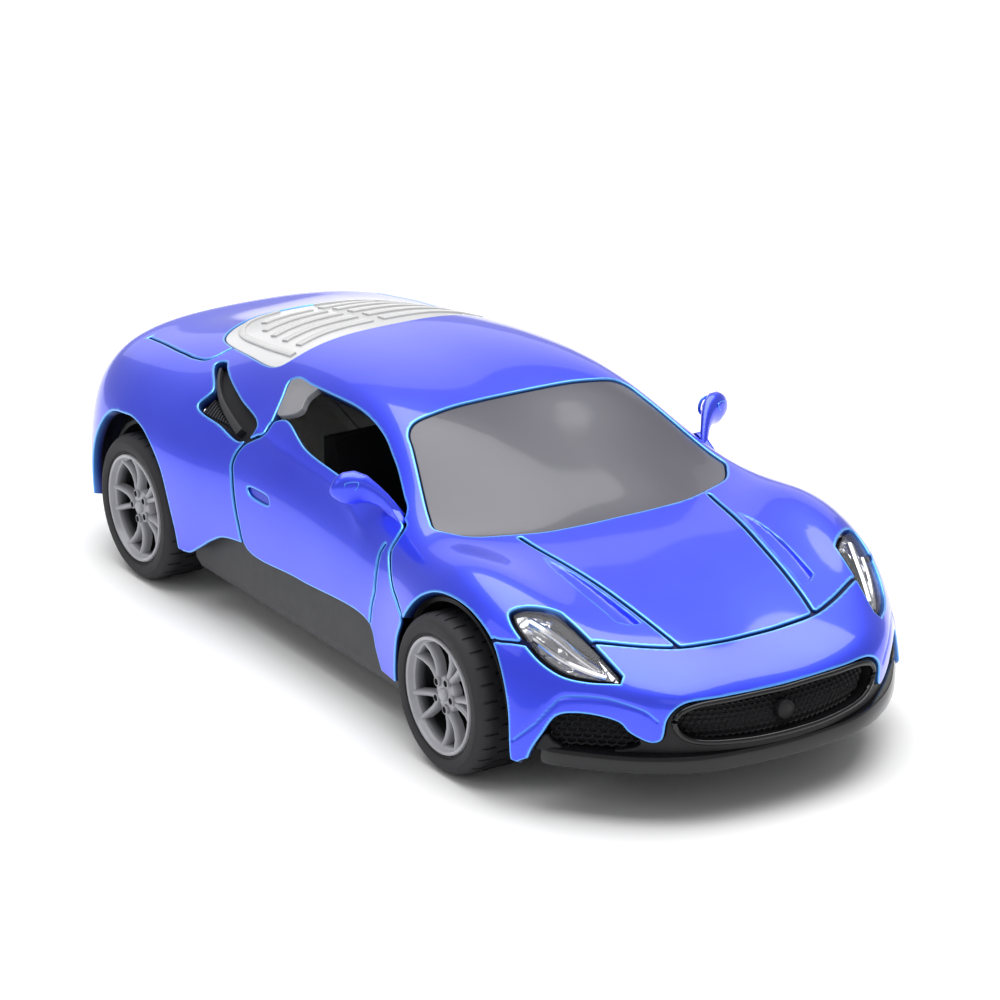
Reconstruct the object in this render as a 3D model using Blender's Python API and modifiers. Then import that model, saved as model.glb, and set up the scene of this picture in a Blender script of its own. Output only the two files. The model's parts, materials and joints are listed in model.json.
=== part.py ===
"""Pull back toy car: die-cast body and doors on a plastic base, with a geared spring motor on the rear axle.

Lengths are in millimetres and become metres in at(). +X is the nose, +Y the car's left, +Z up,
and x is measured from midway between the axles until at() moves it to the middle of the car.
"""

import math

import bmesh
import bpy
from mathutils import Matrix, Vector

MM = 0.001
AXLE_MIDDLE_X = -2.9

# Half of the body, tail to nose. Each section runs from the centreline to the lower edge.
SECTIONS = (
    ((-58.9, 0, 6.7), (-58.6, 7.9, 6.7), (-57.7, 13.8, 6.8), (-56, 18.7, 6.8), (-53.8, 22.5, 6.8),
     (-51.7, 24.7, 6.9), (-50.4, 25.8, 7.1), (-49.8, 26.3, 7.3), (-49.3, 26.5, 7.5)),
    ((-60.6, 0, 13.3), (-60.2, 8, 13.3), (-59.5, 13.9, 13.4), (-57.7, 19.4, 13), (-54.9, 23.2, 12.2),
     (-52, 25.4, 11), (-50, 26.4, 9.8), (-49, 26.7, 8.8), (-48.3, 26.8, 7.5)),
    ((-60.7, 0, 19.8), (-60.4, 8.1, 19.9), (-59.4, 14.1, 20), (-57.3, 19.6, 19.7), (-54, 23.5, 18.6),
     (-50.9, 25.7, 16.6), (-48.5, 26.9, 14), (-47.5, 27.2, 11), (-47, 27, 7.5)),
    ((-59.4, 0, 24), (-59.1, 8.1, 24), (-58, 14.2, 23.8), (-55.6, 19.7, 23.3), (-51.8, 23.7, 22.1),
     (-48.2, 26, 20.1), (-46.1, 27.4, 17.1), (-45, 27.6, 12.5), (-44.5, 27.3, 7.5)),
    ((-58.2, 0, 26.4), (-57.8, 8.1, 26.3), (-56.4, 14.3, 25.9), (-53.4, 19.3, 25.1), (-49.3, 23.1, 23.8),
     (-46, 26, 21.4), (-43.6, 27.7, 18.1), (-42.5, 27.8, 13), (-42, 27.4, 7.5)),
    ((-52.4, 0, 26.9), (-52.4, 8.2, 26.8), (-50.9, 14.3, 26.5), (-48.4, 19.3, 25.9), (-45.3, 23.3, 24.6),
     (-41.7, 26.5, 22), (-40.1, 28.1, 18.4), (-39.5, 28, 13), (-39, 27.5, 7.5)),
    ((-45.4, 0, 28.3), (-45.4, 7.2, 28.3), (-44.4, 13.3, 27.6), (-42.3, 18.8, 26.9), (-39.8, 23.3, 25.3),
     (-37.2, 26.7, 22.3), (-36.1, 28.1, 18.5), (-36, 28, 13), (-36, 27.5, 7.5)),
    ((-36.4, 0, 30.7), (-36.4, 6.6, 30.7), (-35.8, 12.3, 29.4), (-34.3, 17.8, 27.7), (-32.2, 22.9, 25.8),
     (-30.6, 26.2, 22.6), (-30, 27.9, 18.5), (-30, 27.9, 13), (-30, 27.3, 7.5)),
    ((-27.4, 0, 32.4), (-27.3, 7.1, 32.4), (-26.8, 12.7, 31.1), (-25.7, 17.2, 29), (-24.1, 22, 26.4),
     (-23, 25.4, 23), (-22.5, 27.3, 18.7), (-22.5, 27.4, 13), (-22.5, 26.8, 7.5)),
    ((-17.5, 0, 33.6), (-17.3, 7.5, 33.7), (-16.7, 13.5, 32.4), (-16.1, 17.2, 29.9), (-15, 21.8, 26.4),
     (-14.5, 24.9, 23), (-14, 26.3, 18.7), (-14, 26.5, 13), (-14, 26, 7.5)),
    ((-7.6, 0, 34.1), (-7.3, 8, 34.2), (-6.6, 13.9, 33.2), (-6, 17.6, 30.6), (-5, 22, 26.1),
     (-5, 24.7, 22.7), (-5, 25.9, 18.1), (-5, 26.2, 13), (-5, 25.8, 7.5)),
    ((2.4, 0, 33.5), (2.7, 7.9, 33.9), (3.5, 14.2, 33.2), (4, 17.6, 30.5), (5, 21.8, 25.6),
     (4.9, 24.4, 22.2), (5, 25.6, 17.9), (5, 26, 13), (5, 25.7, 7.5)),
    ((9.8, 0, 31.6), (10.4, 7.9, 32.3), (11.4, 14.6, 31.9), (12.4, 18, 29), (13.8, 21.6, 24.9),
     (13.8, 24.2, 21.7), (13.9, 25.6, 17.8), (14, 26, 12.9), (14, 25.7, 7.5)),
    ((17.4, 0, 29.1), (17.7, 8.2, 29.3), (18.8, 16.4, 27.8), (19.7, 19.3, 25.7), (21.2, 21.6, 23.8),
     (21.2, 24.1, 21.5), (21.4, 25.6, 17.7), (21.5, 26.2, 12.9), (21.5, 26.1, 7.5)),
    ((25.6, 0, 26.2), (25.7, 8.7, 26.2), (25.7, 15.9, 24.6), (26.1, 19.4, 23.4), (26.6, 21.9, 23.4),
     (26.7, 24.8, 21.7), (26.9, 26.6, 17.8), (27, 27.1, 13), (27, 26.8, 7.5)),
    ((32.7, 0, 23.2), (32.5, 7.8, 23.4), (31.9, 13.6, 23.3), (31.8, 18, 23.4), (31.8, 21.5, 24.1),
     (31.9, 25.3, 22.3), (31.9, 27.5, 18), (32, 28, 13), (32, 27.4, 7.5)),
    ((38.8, 0, 22.6), (39, 7.9, 22.8), (38.6, 13.1, 22.9), (38.1, 17.4, 23.3), (37.6, 21.3, 24.6),
     (37.1, 25.2, 23), (37, 27.8, 18.2), (37, 28.3, 13), (37, 27.6, 7.3)),
    ((45.9, 0, 21.4), (46.1, 7.6, 21.6), (45.8, 12.5, 21.6), (45.4, 16.8, 22.1), (44.4, 20.6, 23.3),
     (43.3, 24.5, 22.1), (42.7, 27.4, 17.7), (42.5, 28.1, 12.6), (42.5, 27.4, 6.9)),
    ((52.9, 0, 19.6), (53.3, 7.3, 19.8), (52.8, 11.9, 19.9), (52, 15.9, 20.2), (50.4, 19.6, 21.1),
     (48.2, 23.3, 20.6), (46.7, 26.5, 16.8), (46.1, 27.4, 12.1), (46, 27, 6.7)),
    ((59.4, 0, 17.5), (59.4, 6.9, 17.8), (58.8, 11.5, 17.9), (57.6, 15.4, 18.1), (55.4, 18.7, 18.2),
     (52.1, 22.4, 17.8), (49.7, 25.3, 15.1), (48.5, 26.7, 11.1), (48.3, 26.7, 6.6)),
    ((64.6, 0, 14.9), (64.7, 7.3, 15.4), (63.7, 12.6, 15.6), (61.7, 16.5, 15.5), (58.2, 19.6, 15.3),
     (54.6, 22.3, 14.6), (51.9, 24.7, 12.6), (50.2, 26.2, 10), (49.6, 26.4, 6.5)),
    ((66.4, 0, 11.6), (65.9, 7.1, 12.3), (64.5, 12.3, 12.6), (61.9, 16.3, 12.7), (58.5, 19.6, 12.2),
     (55, 22.5, 11.4), (52.7, 24.6, 9.9), (51.1, 25.9, 8), (50.4, 26.2, 6.5)),
    ((66.7, 0, 7.8), (65.9, 6.7, 7.9), (64, 11.8, 8), (61.3, 15.8, 8), (58, 19.4, 8),
     (55.1, 22.3, 7.9), (53.3, 24.3, 7.6), (51.8, 25.5, 7), (51, 26, 6.5)),
)
METAL_THICKNESS = 1.2
MERGE = 4e-6
GLASS_INSET = 0.15
GLASS_THICKNESS = 0.8
CLEARANCE = 0.3
KEPT_FACES = 0.5
KEPT_INSIDE = 0.3

# Openings seen from above, half outlines as (x, y) from the centreline round to the centreline.
WINDSCREEN = ((8.7, 0), (9.2, 6.5), (9.8, 11), (10.2, 14.2), (11.2, 15.4), (13.4, 16.2), (22.4, 19.5), (24.4, 20),
              (26, 19.2), (28.3, 17.4), (30.3, 13.6), (31.7, 9.5), (32.1, 5), (32.1, 0))
ENGINE_COVER = ((-18.4, 0), (-18.6, 14.6), (-19.8, 15.7), (-27.5, 15.2), (-36.5, 13.6), (-38.6, 12.4),
                (-40.8, 9.7), (-43.9, 3), (-44.2, 0))
HEADLIGHT = ((45, 23.2), (45.6, 21.9), (47.8, 18.9), (49, 18.4), (58.3, 16.9), (58.8, 17.6), (56.6, 19.8),
             (53, 22.3), (49.5, 23.6), (46.3, 23.9))
# Openings seen from the side, as (x, z).
SIDE_WINDOW = ((19.4, 21), (20.1, 23.9), (19.3, 24.9), (17.4, 25.9), (15.4, 27), (13.7, 27.9), (11.7, 28.8), (9.3, 29.8),
               (6.4, 30.6), (3.3, 31.1), (0.4, 31.3), (-5.3, 31.2), (-9.8, 31), (-13.6, 30.8), (-14.4, 30.3), (-13, 29),
               (-11.6, 27.4), (-10.2, 25.6), (-7.6, 23.4), (-5, 21.5), (8, 21))
QUARTER_WINDOW = ((-8.2, 31.1), (-13.9, 30.9), (-14.5, 30.4), (-13, 28.9), (-11.7, 27.6), (-9.3, 28), (-7.9, 28.9),
                  (-8.6, 30))
SIDE_INTAKE = ((-31.4, 28.1), (-30, 28.5), (-28.4, 28.3), (-20.2, 27.2), (-12.6, 25.7), (-14, 24.1), (-19.8, 24.5),
               (-26.2, 25.3), (-25.9, 26.6))
FRONT_ARCH = ((25.9, 2), (26.2, 7), (26.8, 10.4), (27.6, 13.2), (28.8, 16), (31, 18.9), (32.8, 20.2), (34.6, 20.9),
              (37.3, 21.2), (41.2, 20.7), (45.3, 18.8), (47.7, 16), (49.4, 11.9), (50, 7.4), (50.1, 2))
REAR_ARCH = ((-25.6, 2), (-25.7, 8), (-26.1, 11), (-28.3, 16.9), (-32.8, 20.2), (-36.6, 21.2), (-39, 21.1),
             (-42.8, 20.3), (-45.4, 17.8), (-47.9, 14), (-49, 10), (-49.3, 2))
SKIRT_CUT = ((-25.5, 2), (-24.8, 7), (-22.8, 7.6), (-20.2, 9.1), (-17.2, 10.9), (-14, 12.2), (19.8, 12.2), (21, 9.4),
             (22.8, 7), (26, 7), (26, 2))
# Openings seen from the front and the back, half outlines as (y, z) from the centreline.
MOUTH = ((0, 14.3), (8, 14.5), (12.2, 14.4), (13.5, 13.7), (14.2, 12.6), (14.6, 10.1), (15.4, 9.8), (17.4, 11),
         (18.2, 12.1), (19.9, 12.7), (21.6, 12.7), (22.8, 12.2), (24, 10), (25.2, 7), (25.3, 2), (0, 2))
TAIL_CUT = ((0, 11.6), (15, 11.8), (19.5, 10.6), (22.4, 7), (22.6, 2), (0, 2))
TAIL_LIGHT = ((9.5, 21.4), (21.5, 20.4), (22.2, 19), (20, 18.6), (10, 20))

# The door's edge on the left side: x, y, z and how far the cut leans inwards for each mm of depth.
DOOR_EDGE = (
    (-9.2, 20.4, 27.6, 0), (-10.9, 21.2, 26.8, 0.3), (-10.5, 22.3, 25.8, 0.6), (-11.8, 23, 24.9, 0.7),
    (-13.1, 23.8, 24, 0.7), (-13.7, 24.7, 22.8, 0.7), (-13.7, 25.3, 21.5, 0.7), (-13, 25.7, 20.2, 0.7),
    (-12.1, 26.1, 18.2, 0.7), (-10.9, 26.3, 15.3, 0.6), (-9.3, 26.2, 12.3, 0.5), (3, 26, 12.1, 0.2),
    (19.8, 26.1, 12, 0), (21.2, 26.2, 9.3, 0), (23, 26.3, 6.9, 0), (26, 26.7, 6.7, 0), (26.4, 26.8, 9, 0),
    (27.3, 27, 13, 0), (28.4, 27, 15.8, 0), (26.8, 26.6, 17, 0), (24.6, 25.9, 18.1, 0), (22.6, 25.1, 19.8, 0.1),
    (21.3, 24.2, 21.3, 0.3), (21.2, 23.3, 22.4, 0.6), (20.9, 22.3, 23.5, 0.6), (20, 21.8, 23.9, 0.4),
    (13.3, 21.6, 24.8, 0.1), (5.6, 21.7, 25.5, 0), (-1.9, 21.6, 26.2, 0),
)
DOOR_SEAM = 0.45
HINGE_POINT = (22.3, 23.5, 21.9)
HINGE_TILT = math.radians(45)
MIRROR_BASE = (18, 21.6, 23.6)
MIRROR_HEAD = (14.1, 24.8, 27)

AXLE_X = 36.6
AXLE_Z = 9.35
AXLE_RADIUS = 1.0
RIM_STEPS = 15
TYRE_STEPS = 24
SPOKE_PAIRS = 5

# Gears: teeth, pitch radius follows from the module.
MODULE = 0.5
AXLE_TEETH = 12
IDLER_TEETH = 24
IDLER_PINION_TEETH = 10
SPRING_TEETH = 28
IDLER_ANGLE = math.radians(50)
SPRING_ANGLE = math.radians(-12)
AXLE_GEAR_Y = 3.2
SPRING_GEAR_Y = -0.4
GEAR_WIDTH = 1.6

NOSE_SPAN = (45, 75)
MESH_SPAN = (49.5, 75)
TAIL_SPAN = (-70, -48)
DOOR_OUTSIDE = 32
DOOR_INSIDE = 20.5
EYE_HALF = 1.1
EYE_RADIUS = 1.3
PIN_RADIUS = 0.5
PIN_HALF = 1.8
MIRROR_RADII = (1.2, 2.3, 1.4)

GRILLE = ((0, 13.4), (11.2, 13.3), (12.7, 12.4), (13, 10.6), (11.8, 9.4), (0, 8.9))
MESH = ((0, 14.2), (12.4, 14.2), (14.2, 12.8), (23, 12.2), (23.8, 9.5), (23.4, 8), (0, 8))
CORNER_INTAKE = ((17.5, 10.2), (18.4, 11.1), (21.6, 11.4), (22.9, 9.8), (22.6, 9.1), (18, 9))
SPLITTER = ((66.2, 0), (65.9, 5), (64.7, 11), (61.4, 16.6), (56.4, 21.4), (52.6, 23.8), (50.9, 21.6),
            (56, 17.5), (59.6, 12), (61, 6), (61.2, 0))
SPLITTER_BOTTOM = 6.1
SPLITTER_TOP = 7.3
BADGE = (64.3, 11.3, 1.5)
EXHAUST = (7, 9, 1.5)

CHASSIS = ((60.4, 0), (59.6, 7), (57.4, 13), (54, 17.6), (50.6, 18.4), (25.6, 18.4), (25.2, 22.4),
           (-24.8, 22.4), (-25.2, 18.4), (-50.5, 18.4), (-54.5, 16.5), (-56.4, 12), (-56.8, 0))
CHASSIS_BOTTOM = 4.8
CHASSIS_TOP = 6.4
MOTOR_WINDOW_LOW = (-43, -8, 0)
MOTOR_WINDOW_HIGH = (-12.6, 7, 20)
SCREWS = ((-51, 0), (20, 12), (20, -12), (55.5, 0))
SCREW_RADIUS = 1.4
SKIRT_SECTION = ((22.9, 12), (22.9, 4.8), (24.2, 4.8), (24.9, 6.2), (24.5, 13.4), (23.6, 13.4))
SKIRT_SIDE = ((-24.8, 4), (25.8, 4), (25.8, 7), (22.8, 7.2), (19.2, 13), (18, 14), (-12, 14), (-16.5, 12.4),
              (-20, 10.8), (-24.8, 7.4))

SEAT = ((-10.4, 24), (-8, 24.4), (-6.6, 20), (-5.2, 13.2), (3.4, 14.4), (4.4, 12.8), (4, 8.4), (-6.4, 8.4),
        (-10.6, 15))
DASHBOARD = ((24, 16.9), (24, 20.6), (20, 21.6), (17, 20.4), (16.6, 18.4), (20, 16.9))
WHEEL_CENTRE = (12.4, 9.6, 20)
WHEEL_TILT = math.radians(25)
WHEEL_RADIUS = 3.2

AXLE_HALF = 25.2
TYRE = ((7, 27), (7.7, 27.4), (8.7, 27.15), (9.25, 26.4), (9.35, 25.4), (9.35, 20.8), (9.2, 19.9),
        (8.5, 19.4), (7, 19.6))
RIM = ((0, 26.9), (1.5, 26.8), (1.8, 26.2), (6.1, 26.5), (6.4, 27.3), (6.85, 27.2), (6.85, 20.4),
       (6.2, 20.4), (6.1, 25), (2.2, 24.8), (2.2, 21), (1.2, 21), (1.2, 25.6), (0, 25.6))
NARROW_GAP = math.radians(9)
WIDE_GAP = math.radians(15)

SHAFT_RADIUS = 1.0
SHAFT_SPAN = (-7.1, 6.2)
CUP_SPAN = (-6, 6.4)
LID_SPAN = (-7.4, -6.3)
MAINSPRING_SPAN = (-4.8, -2)
SPRING_POINTS = 36
SPRING_TURNS = 3
SPRING_INNER = 1.5
SPRING_OUTER = 6
SPRING_STRIP = 0.35
CASING = ((-42, 4.4), (-42, 13), (-38.6, 20), (-34.4, 24.4), (-27.2, 24.4), (-22, 23.4), (-16.6, 21.6),
          (-13, 17.6), (-13, 10), (-16.4, 5.4), (-20, 4.4))

COLOURS = {
    "blue_paint": ((0.05, 0.06, 0.78), 0.25, 0.5),
    "black_plastic": ((0.02, 0.02, 0.022), 0.5, 0.0),
    "grey_plastic": ((0.08, 0.08, 0.085), 0.5, 0.0),
    "rim_plastic": ((0.3, 0.3, 0.32), 0.4, 0.0),
    "rubber": ((0.05, 0.05, 0.05), 0.8, 0.0),
    "smoked_glass": ((0.23, 0.22, 0.27), 0.2, 0.0),
    "clear_glass": ((0.75, 0.76, 0.78), 0.15, 0.0),
    "chrome": ((0.75, 0.75, 0.77), 0.12, 1.0),
    "red_glass": ((0.5, 0.02, 0.02), 0.2, 0.0),
    "steel": ((0.5, 0.5, 0.52), 0.3, 1.0),
    "white_plastic": ((0.75, 0.74, 0.7), 0.45, 0.0),
}


def at(x, y, z):
    return Vector(((x + AXLE_MIDDLE_X) * MM, y * MM, z * MM))


def clear_scene():
    for item in list(bpy.data.objects):
        bpy.data.objects.remove(item)


def new_collection(name):
    collection = bpy.data.collections.new(name)
    bpy.context.scene.collection.children.link(collection)
    return collection


def new_material(name):
    colour, roughness, metallic = COLOURS[name]
    material = bpy.data.materials.new(name)
    material.use_nodes = True
    shader = material.node_tree.nodes["Principled BSDF"]
    shader.inputs["Base Color"].default_value = (*colour, 1)
    shader.inputs["Roughness"].default_value = roughness
    shader.inputs["Metallic"].default_value = metallic
    return material


def settle(item):
    """Applies an object's modifiers and makes near-coincident points one."""
    bpy.context.view_layer.update()
    graph = bpy.context.evaluated_depsgraph_get()
    mesh = bpy.data.meshes.new_from_object(item.evaluated_get(graph))
    work = bmesh.new()
    work.from_mesh(mesh)
    bmesh.ops.triangulate(work, faces=work.faces)
    bmesh.ops.remove_doubles(work, verts=work.verts, dist=MERGE)
    bmesh.ops.dissolve_degenerate(work, edges=work.edges, dist=MERGE)
    bmesh.ops.recalc_face_normals(work, faces=work.faces)
    work.to_mesh(mesh)
    work.free()
    item.modifiers.clear()
    item.data = mesh
    return item


PARTS = "pull_back_car"
CUTTERS = "cutters"


def link(item, collection_name=CUTTERS):
    bpy.data.collections[collection_name].objects.link(item)
    return item


def finish(item, name, material_name, origin=None):
    """Bakes a built object into a node, with its origin on the joint axis if it has one."""
    settle(item)
    item.data.transform(item.matrix_world)
    item.matrix_world = Matrix.Identity(4)
    item.data.materials.clear()
    item.data.materials.append(bpy.data.materials[material_name])
    if origin is not None:
        item.data.transform(Matrix.Translation(-origin))
        item.location = origin
    bpy.data.collections[CUTTERS].objects.unlink(item)
    link(item, PARTS)
    item.name = name
    item.data.name = name
    item.hide_render = False
    item.display_type = "TEXTURED"
    return item


def hide(item):
    item.hide_render = True
    item.display_type = "WIRE"
    return item


def solid(name, points, faces):
    """A closed mesh facing outwards."""
    mesh = bpy.data.meshes.new(name)
    mesh.from_pydata(points, [], faces)
    work = bmesh.new()
    work.from_mesh(mesh)
    bmesh.ops.recalc_face_normals(work, faces=work.faces)
    work.to_mesh(mesh)
    work.free()
    return hide(link(bpy.data.objects.new(name, mesh)))


def loft(name, first, second):
    """Two loops of the same count joined by a band of faces and closed at both ends."""
    count = len(first)
    faces = [tuple(range(count)), tuple(range(2 * count - 1, count - 1, -1))]
    faces += [(i, (i + 1) % count, count + (i + 1) % count, count + i) for i in range(count)]
    return solid(name, list(first) + list(second), faces)


def offset_outline(outline, distance):
    """The outline moved outwards by distance, along the mean of its two edge normals at each corner."""
    following = outline[1:] + outline[:1]
    area = sum(a[0] * b[1] - b[0] * a[1] for a, b in zip(outline, following))
    side = 1 if area > 0 else -1
    moved = []
    for i, here in enumerate(outline):
        before = (Vector(here) - Vector(outline[i - 1])).normalized()
        after = (Vector(following[i]) - Vector(here)).normalized()
        first = Vector((before.y, -before.x)) * side
        second = Vector((after.y, -after.x)) * side
        middle = (first + second).normalized()
        reach = distance / max(middle.dot(first), 0.5)
        moved.append((here[0] + middle.x * reach, here[1] + middle.y * reach))
    return tuple(moved)


def both_halves(half):
    """A half outline (along, across) closed with its mirror image across the centreline."""
    return tuple(half) + tuple((a, -b) for a, b in reversed(half[1:-1]))


def both_halves_front(half):
    return tuple(half) + tuple((-a, b) for a, b in reversed(half[1:-1]))


def prism(name, outline, plane, low, high, grow=0.0):
    """An outline in the xy, xz or yz plane, grown by grow mm and extruded from low to high."""
    if grow:
        outline = offset_outline(tuple(outline), grow)
    ways = {
        "xy": lambda a, b, c: at(a, b, c),
        "xz": lambda a, b, c: at(a, c, b),
        "yz": lambda a, b, c: at(c, a, b),
    }
    place = ways[plane]
    return loft(name, [place(a, b, low) for a, b in outline], [place(a, b, high) for a, b in outline])


def disc(centre, radius, steps):
    """A circle outline."""
    turn = 2 * math.pi / steps
    return tuple(
        (centre[0] + radius * math.cos(i * turn), centre[1] + radius * math.sin(i * turn)) for i in range(steps)
    )


def box(name, low, high):
    outline = ((low[0], low[1]), (high[0], low[1]), (high[0], high[1]), (low[0], high[1]))
    return prism(name, outline, "xy", low[2], high[2])


def skin(name, inset, thickness, kept=KEPT_FACES):
    """A closed skin under the body's surface, from inset to inset + thickness mm below it."""
    points = [at(*point) for section in SECTIONS for point in section]
    count = len(SECTIONS[0])
    faces = []
    for row in range(len(SECTIONS) - 1):
        for column in range(count - 1):
            first = row * count + column
            faces.append((first, first + count, first + count + 1, first + 1))
    mesh = bpy.data.meshes.new(name)
    mesh.from_pydata(points, [], faces)
    item = hide(link(bpy.data.objects.new(name, mesh)))
    mirror = item.modifiers.new("Mirror", "MIRROR")
    mirror.use_axis = (False, True, False)
    mirror.merge_threshold = 0.0001
    smooth = item.modifiers.new("Subdivision", "SUBSURF")
    smooth.levels = 1
    smooth.render_levels = 1
    if inset:
        shrink = item.modifiers.new("Inset", "DISPLACE")
        shrink.mid_level = 0
        shrink.strength = -inset * MM
    wall = item.modifiers.new("Solidify", "SOLIDIFY")
    wall.thickness = thickness * MM
    wall.offset = -1
    wall.use_even_offset = True
    thin = item.modifiers.new("Decimate", "DECIMATE")
    thin.ratio = kept
    thin.use_symmetry = True
    thin.symmetry_axis = "Y"
    return settle(item)


def boolean(target, cutter, operation):
    modifier = target.modifiers.new(operation.title(), "BOOLEAN")
    modifier.operation = operation
    modifier.solver = "EXACT"
    modifier.object = cutter
    return settle(target)


def cut(target, *cutters):
    for cutter in cutters:
        boolean(target, cutter, "DIFFERENCE")
    return target


def keep_inside(target, cutter):
    return boolean(target, cutter, "INTERSECT")


def join(target, *others):
    for other in others:
        boolean(target, other, "UNION")
    return target


def side_of(side, outline_y_first):
    """Half-car (y, ...) values moved to the left (+1) or right (-1) side."""
    return tuple((y * side, z) for y, z in outline_y_first)


def revolve(name, profile, steps, centre, side):
    """A profile of (radius, |y|) points turned about a line along y through centre (x, z)."""
    mesh = bpy.data.meshes.new(name)
    points = [(radius * MM, 0, y * MM) for radius, y in profile]
    edges = [(i, i + 1) for i in range(len(points) - 1)]
    if profile[0][0] > 0:
        edges.append((len(points) - 1, 0))
    mesh.from_pydata(points, edges, [])
    item = hide(link(bpy.data.objects.new(name, mesh)))
    screw = item.modifiers.new("Screw", "SCREW")
    screw.steps = steps
    screw.render_steps = steps
    screw.use_merge_vertices = True
    screw.merge_threshold = 1e-6
    item.matrix_world = Matrix.Translation(at(centre[0], 0, centre[1])) @ Matrix.Rotation(
        -side * math.pi / 2, 4, "X"
    )
    return item


def rod(name, start, end, radius, steps=12):
    """A round bar between two points."""
    along = end - start
    frame = along.to_track_quat("Z", "Y").to_matrix()
    rings = []
    for middle in (start, end):
        rings.append([middle + frame @ Vector((x, y, 0)) for x, y in disc((0, 0), radius * MM, steps)])
    return loft(name, rings[0], rings[1])


def ball(name, centre, radii):
    """A stretched sphere."""
    mesh = bpy.data.meshes.new(name)
    work = bmesh.new()
    bmesh.ops.create_icosphere(work, subdivisions=2, radius=MM)
    bmesh.ops.scale(work, vec=Vector(radii), verts=work.verts)
    bmesh.ops.translate(work, vec=centre, verts=work.verts)
    work.to_mesh(mesh)
    work.free()
    return hide(link(bpy.data.objects.new(name, mesh)))


def door_prism(name, side, grow):
    """The door's cut through the side: its outline, leaning inwards as it goes deeper."""
    outline = tuple((x, z) for x, _, z, _ in DOOR_EDGE)
    outward = offset_outline(outline, 1.0)
    grown = offset_outline(outline, grow) if grow else outline
    loops = []
    for depth in (DOOR_OUTSIDE, DOOR_INSIDE):
        loop = []
        for i, (x, y, z, lean) in enumerate(DOOR_EDGE):
            slide = lean * (depth - y)
            along = (outward[i][0] - x) * slide
            up = (outward[i][1] - z) * slide
            loop.append(at(grown[i][0] + along, side * depth, grown[i][1] + up))
        loops.append(loop)
    return loft(name, loops[0], loops[1])


def hinge_line(side):
    """The middle of a door's hinge and the unit direction it turns about when opening."""
    x, y, z = HINGE_POINT
    turn = Vector((0, math.cos(HINGE_TILT), -side * math.sin(HINGE_TILT)))
    return at(x, side * y, z), turn


def hinge_rod(name, side, radius, half, steps=12):
    middle, turn = hinge_line(side)
    return rod(name, middle - turn * half * MM, middle + turn * half * MM, radius, steps)


def make_door(name, side):
    """A door with its mirror on a stalk and the hinge eye inside its front top corner."""
    middle, _ = hinge_line(side)
    door = keep_inside(skin(name + "_raw", 0, METAL_THICKNESS), door_prism(name + "_shape", side, 0))
    x, y, z = MIRROR_HEAD
    base_x, base_y, base_z = MIRROR_BASE
    head = ball(name + "_mirror", at(x, side * y, z), MIRROR_RADII)
    stalk = rod(name + "_stalk", at(x, side * y, z), at(base_x, side * base_y, base_z), 0.8, 8)
    join(door, head, stalk, hinge_rod(name + "_eye", side, EYE_RADIUS, EYE_HALF))
    cut(door, hinge_rod(name + "_hole", side, PIN_RADIUS + CLEARANCE, PIN_HALF + 1))
    finish(door, name, "blue_paint", middle)


def make_hinge_pin(name, side):
    finish(hinge_rod(name + "_raw", side, PIN_RADIUS, PIN_HALF, 10), name, "steel")


def make_glass(name, outline, plane, low, high, material_name, inset=GLASS_INSET, thickness=GLASS_THICKNESS):
    """A piece of the body's surface that fits loosely in an opening."""
    shape = prism(name + "_shape", outline, plane, low, high, -CLEARANCE)
    finish(keep_inside(skin(name + "_raw", inset, thickness, KEPT_INSIDE), shape), name, material_name)


def make_body():
    shell = skin("body_raw", 0, METAL_THICKNESS)
    cut(shell, prism("cut_windscreen", both_halves(WINDSCREEN), "xy", 15, 45))
    cut(shell, prism("cut_engine_cover", both_halves(ENGINE_COVER), "xy", 22, 45))
    cut(shell, prism("cut_mouth", both_halves_front(MOUTH), "yz", *NOSE_SPAN))
    cut(shell, prism("cut_tail", both_halves_front(TAIL_CUT), "yz", *TAIL_SPAN))
    for side in (1, -1):
        low, high = sorted((side * 11, side * 34))
        intake_span = sorted((side * 16, side * 34))
        cut(shell, door_prism(f"cut_door{side}", side, DOOR_SEAM))
        cut(shell, hinge_rod(f"cut_hinge{side}", side, EYE_RADIUS + DOOR_SEAM, PIN_HALF + 1))
        cut(shell, prism(f"cut_window{side}", SIDE_WINDOW, "xz", low, high))
        cut(shell, prism(f"cut_intake{side}", SIDE_INTAKE, "xz", *intake_span))
        cut(shell, prism(f"cut_front_arch{side}", FRONT_ARCH, "xz", low, high))
        cut(shell, prism(f"cut_rear_arch{side}", REAR_ARCH, "xz", low, high))
        cut(shell, prism(f"cut_skirt{side}", SKIRT_CUT, "xz", low, high))
        cut(shell, prism(f"cut_headlight{side}", [(x, side * y) for x, y in HEADLIGHT], "xy", 15, 30))
        cut(shell, prism(f"cut_tail_light{side}", side_of(side, TAIL_LIGHT), "yz", -70, -45))
    finish(shell, "body_shell", "blue_paint")


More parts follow.
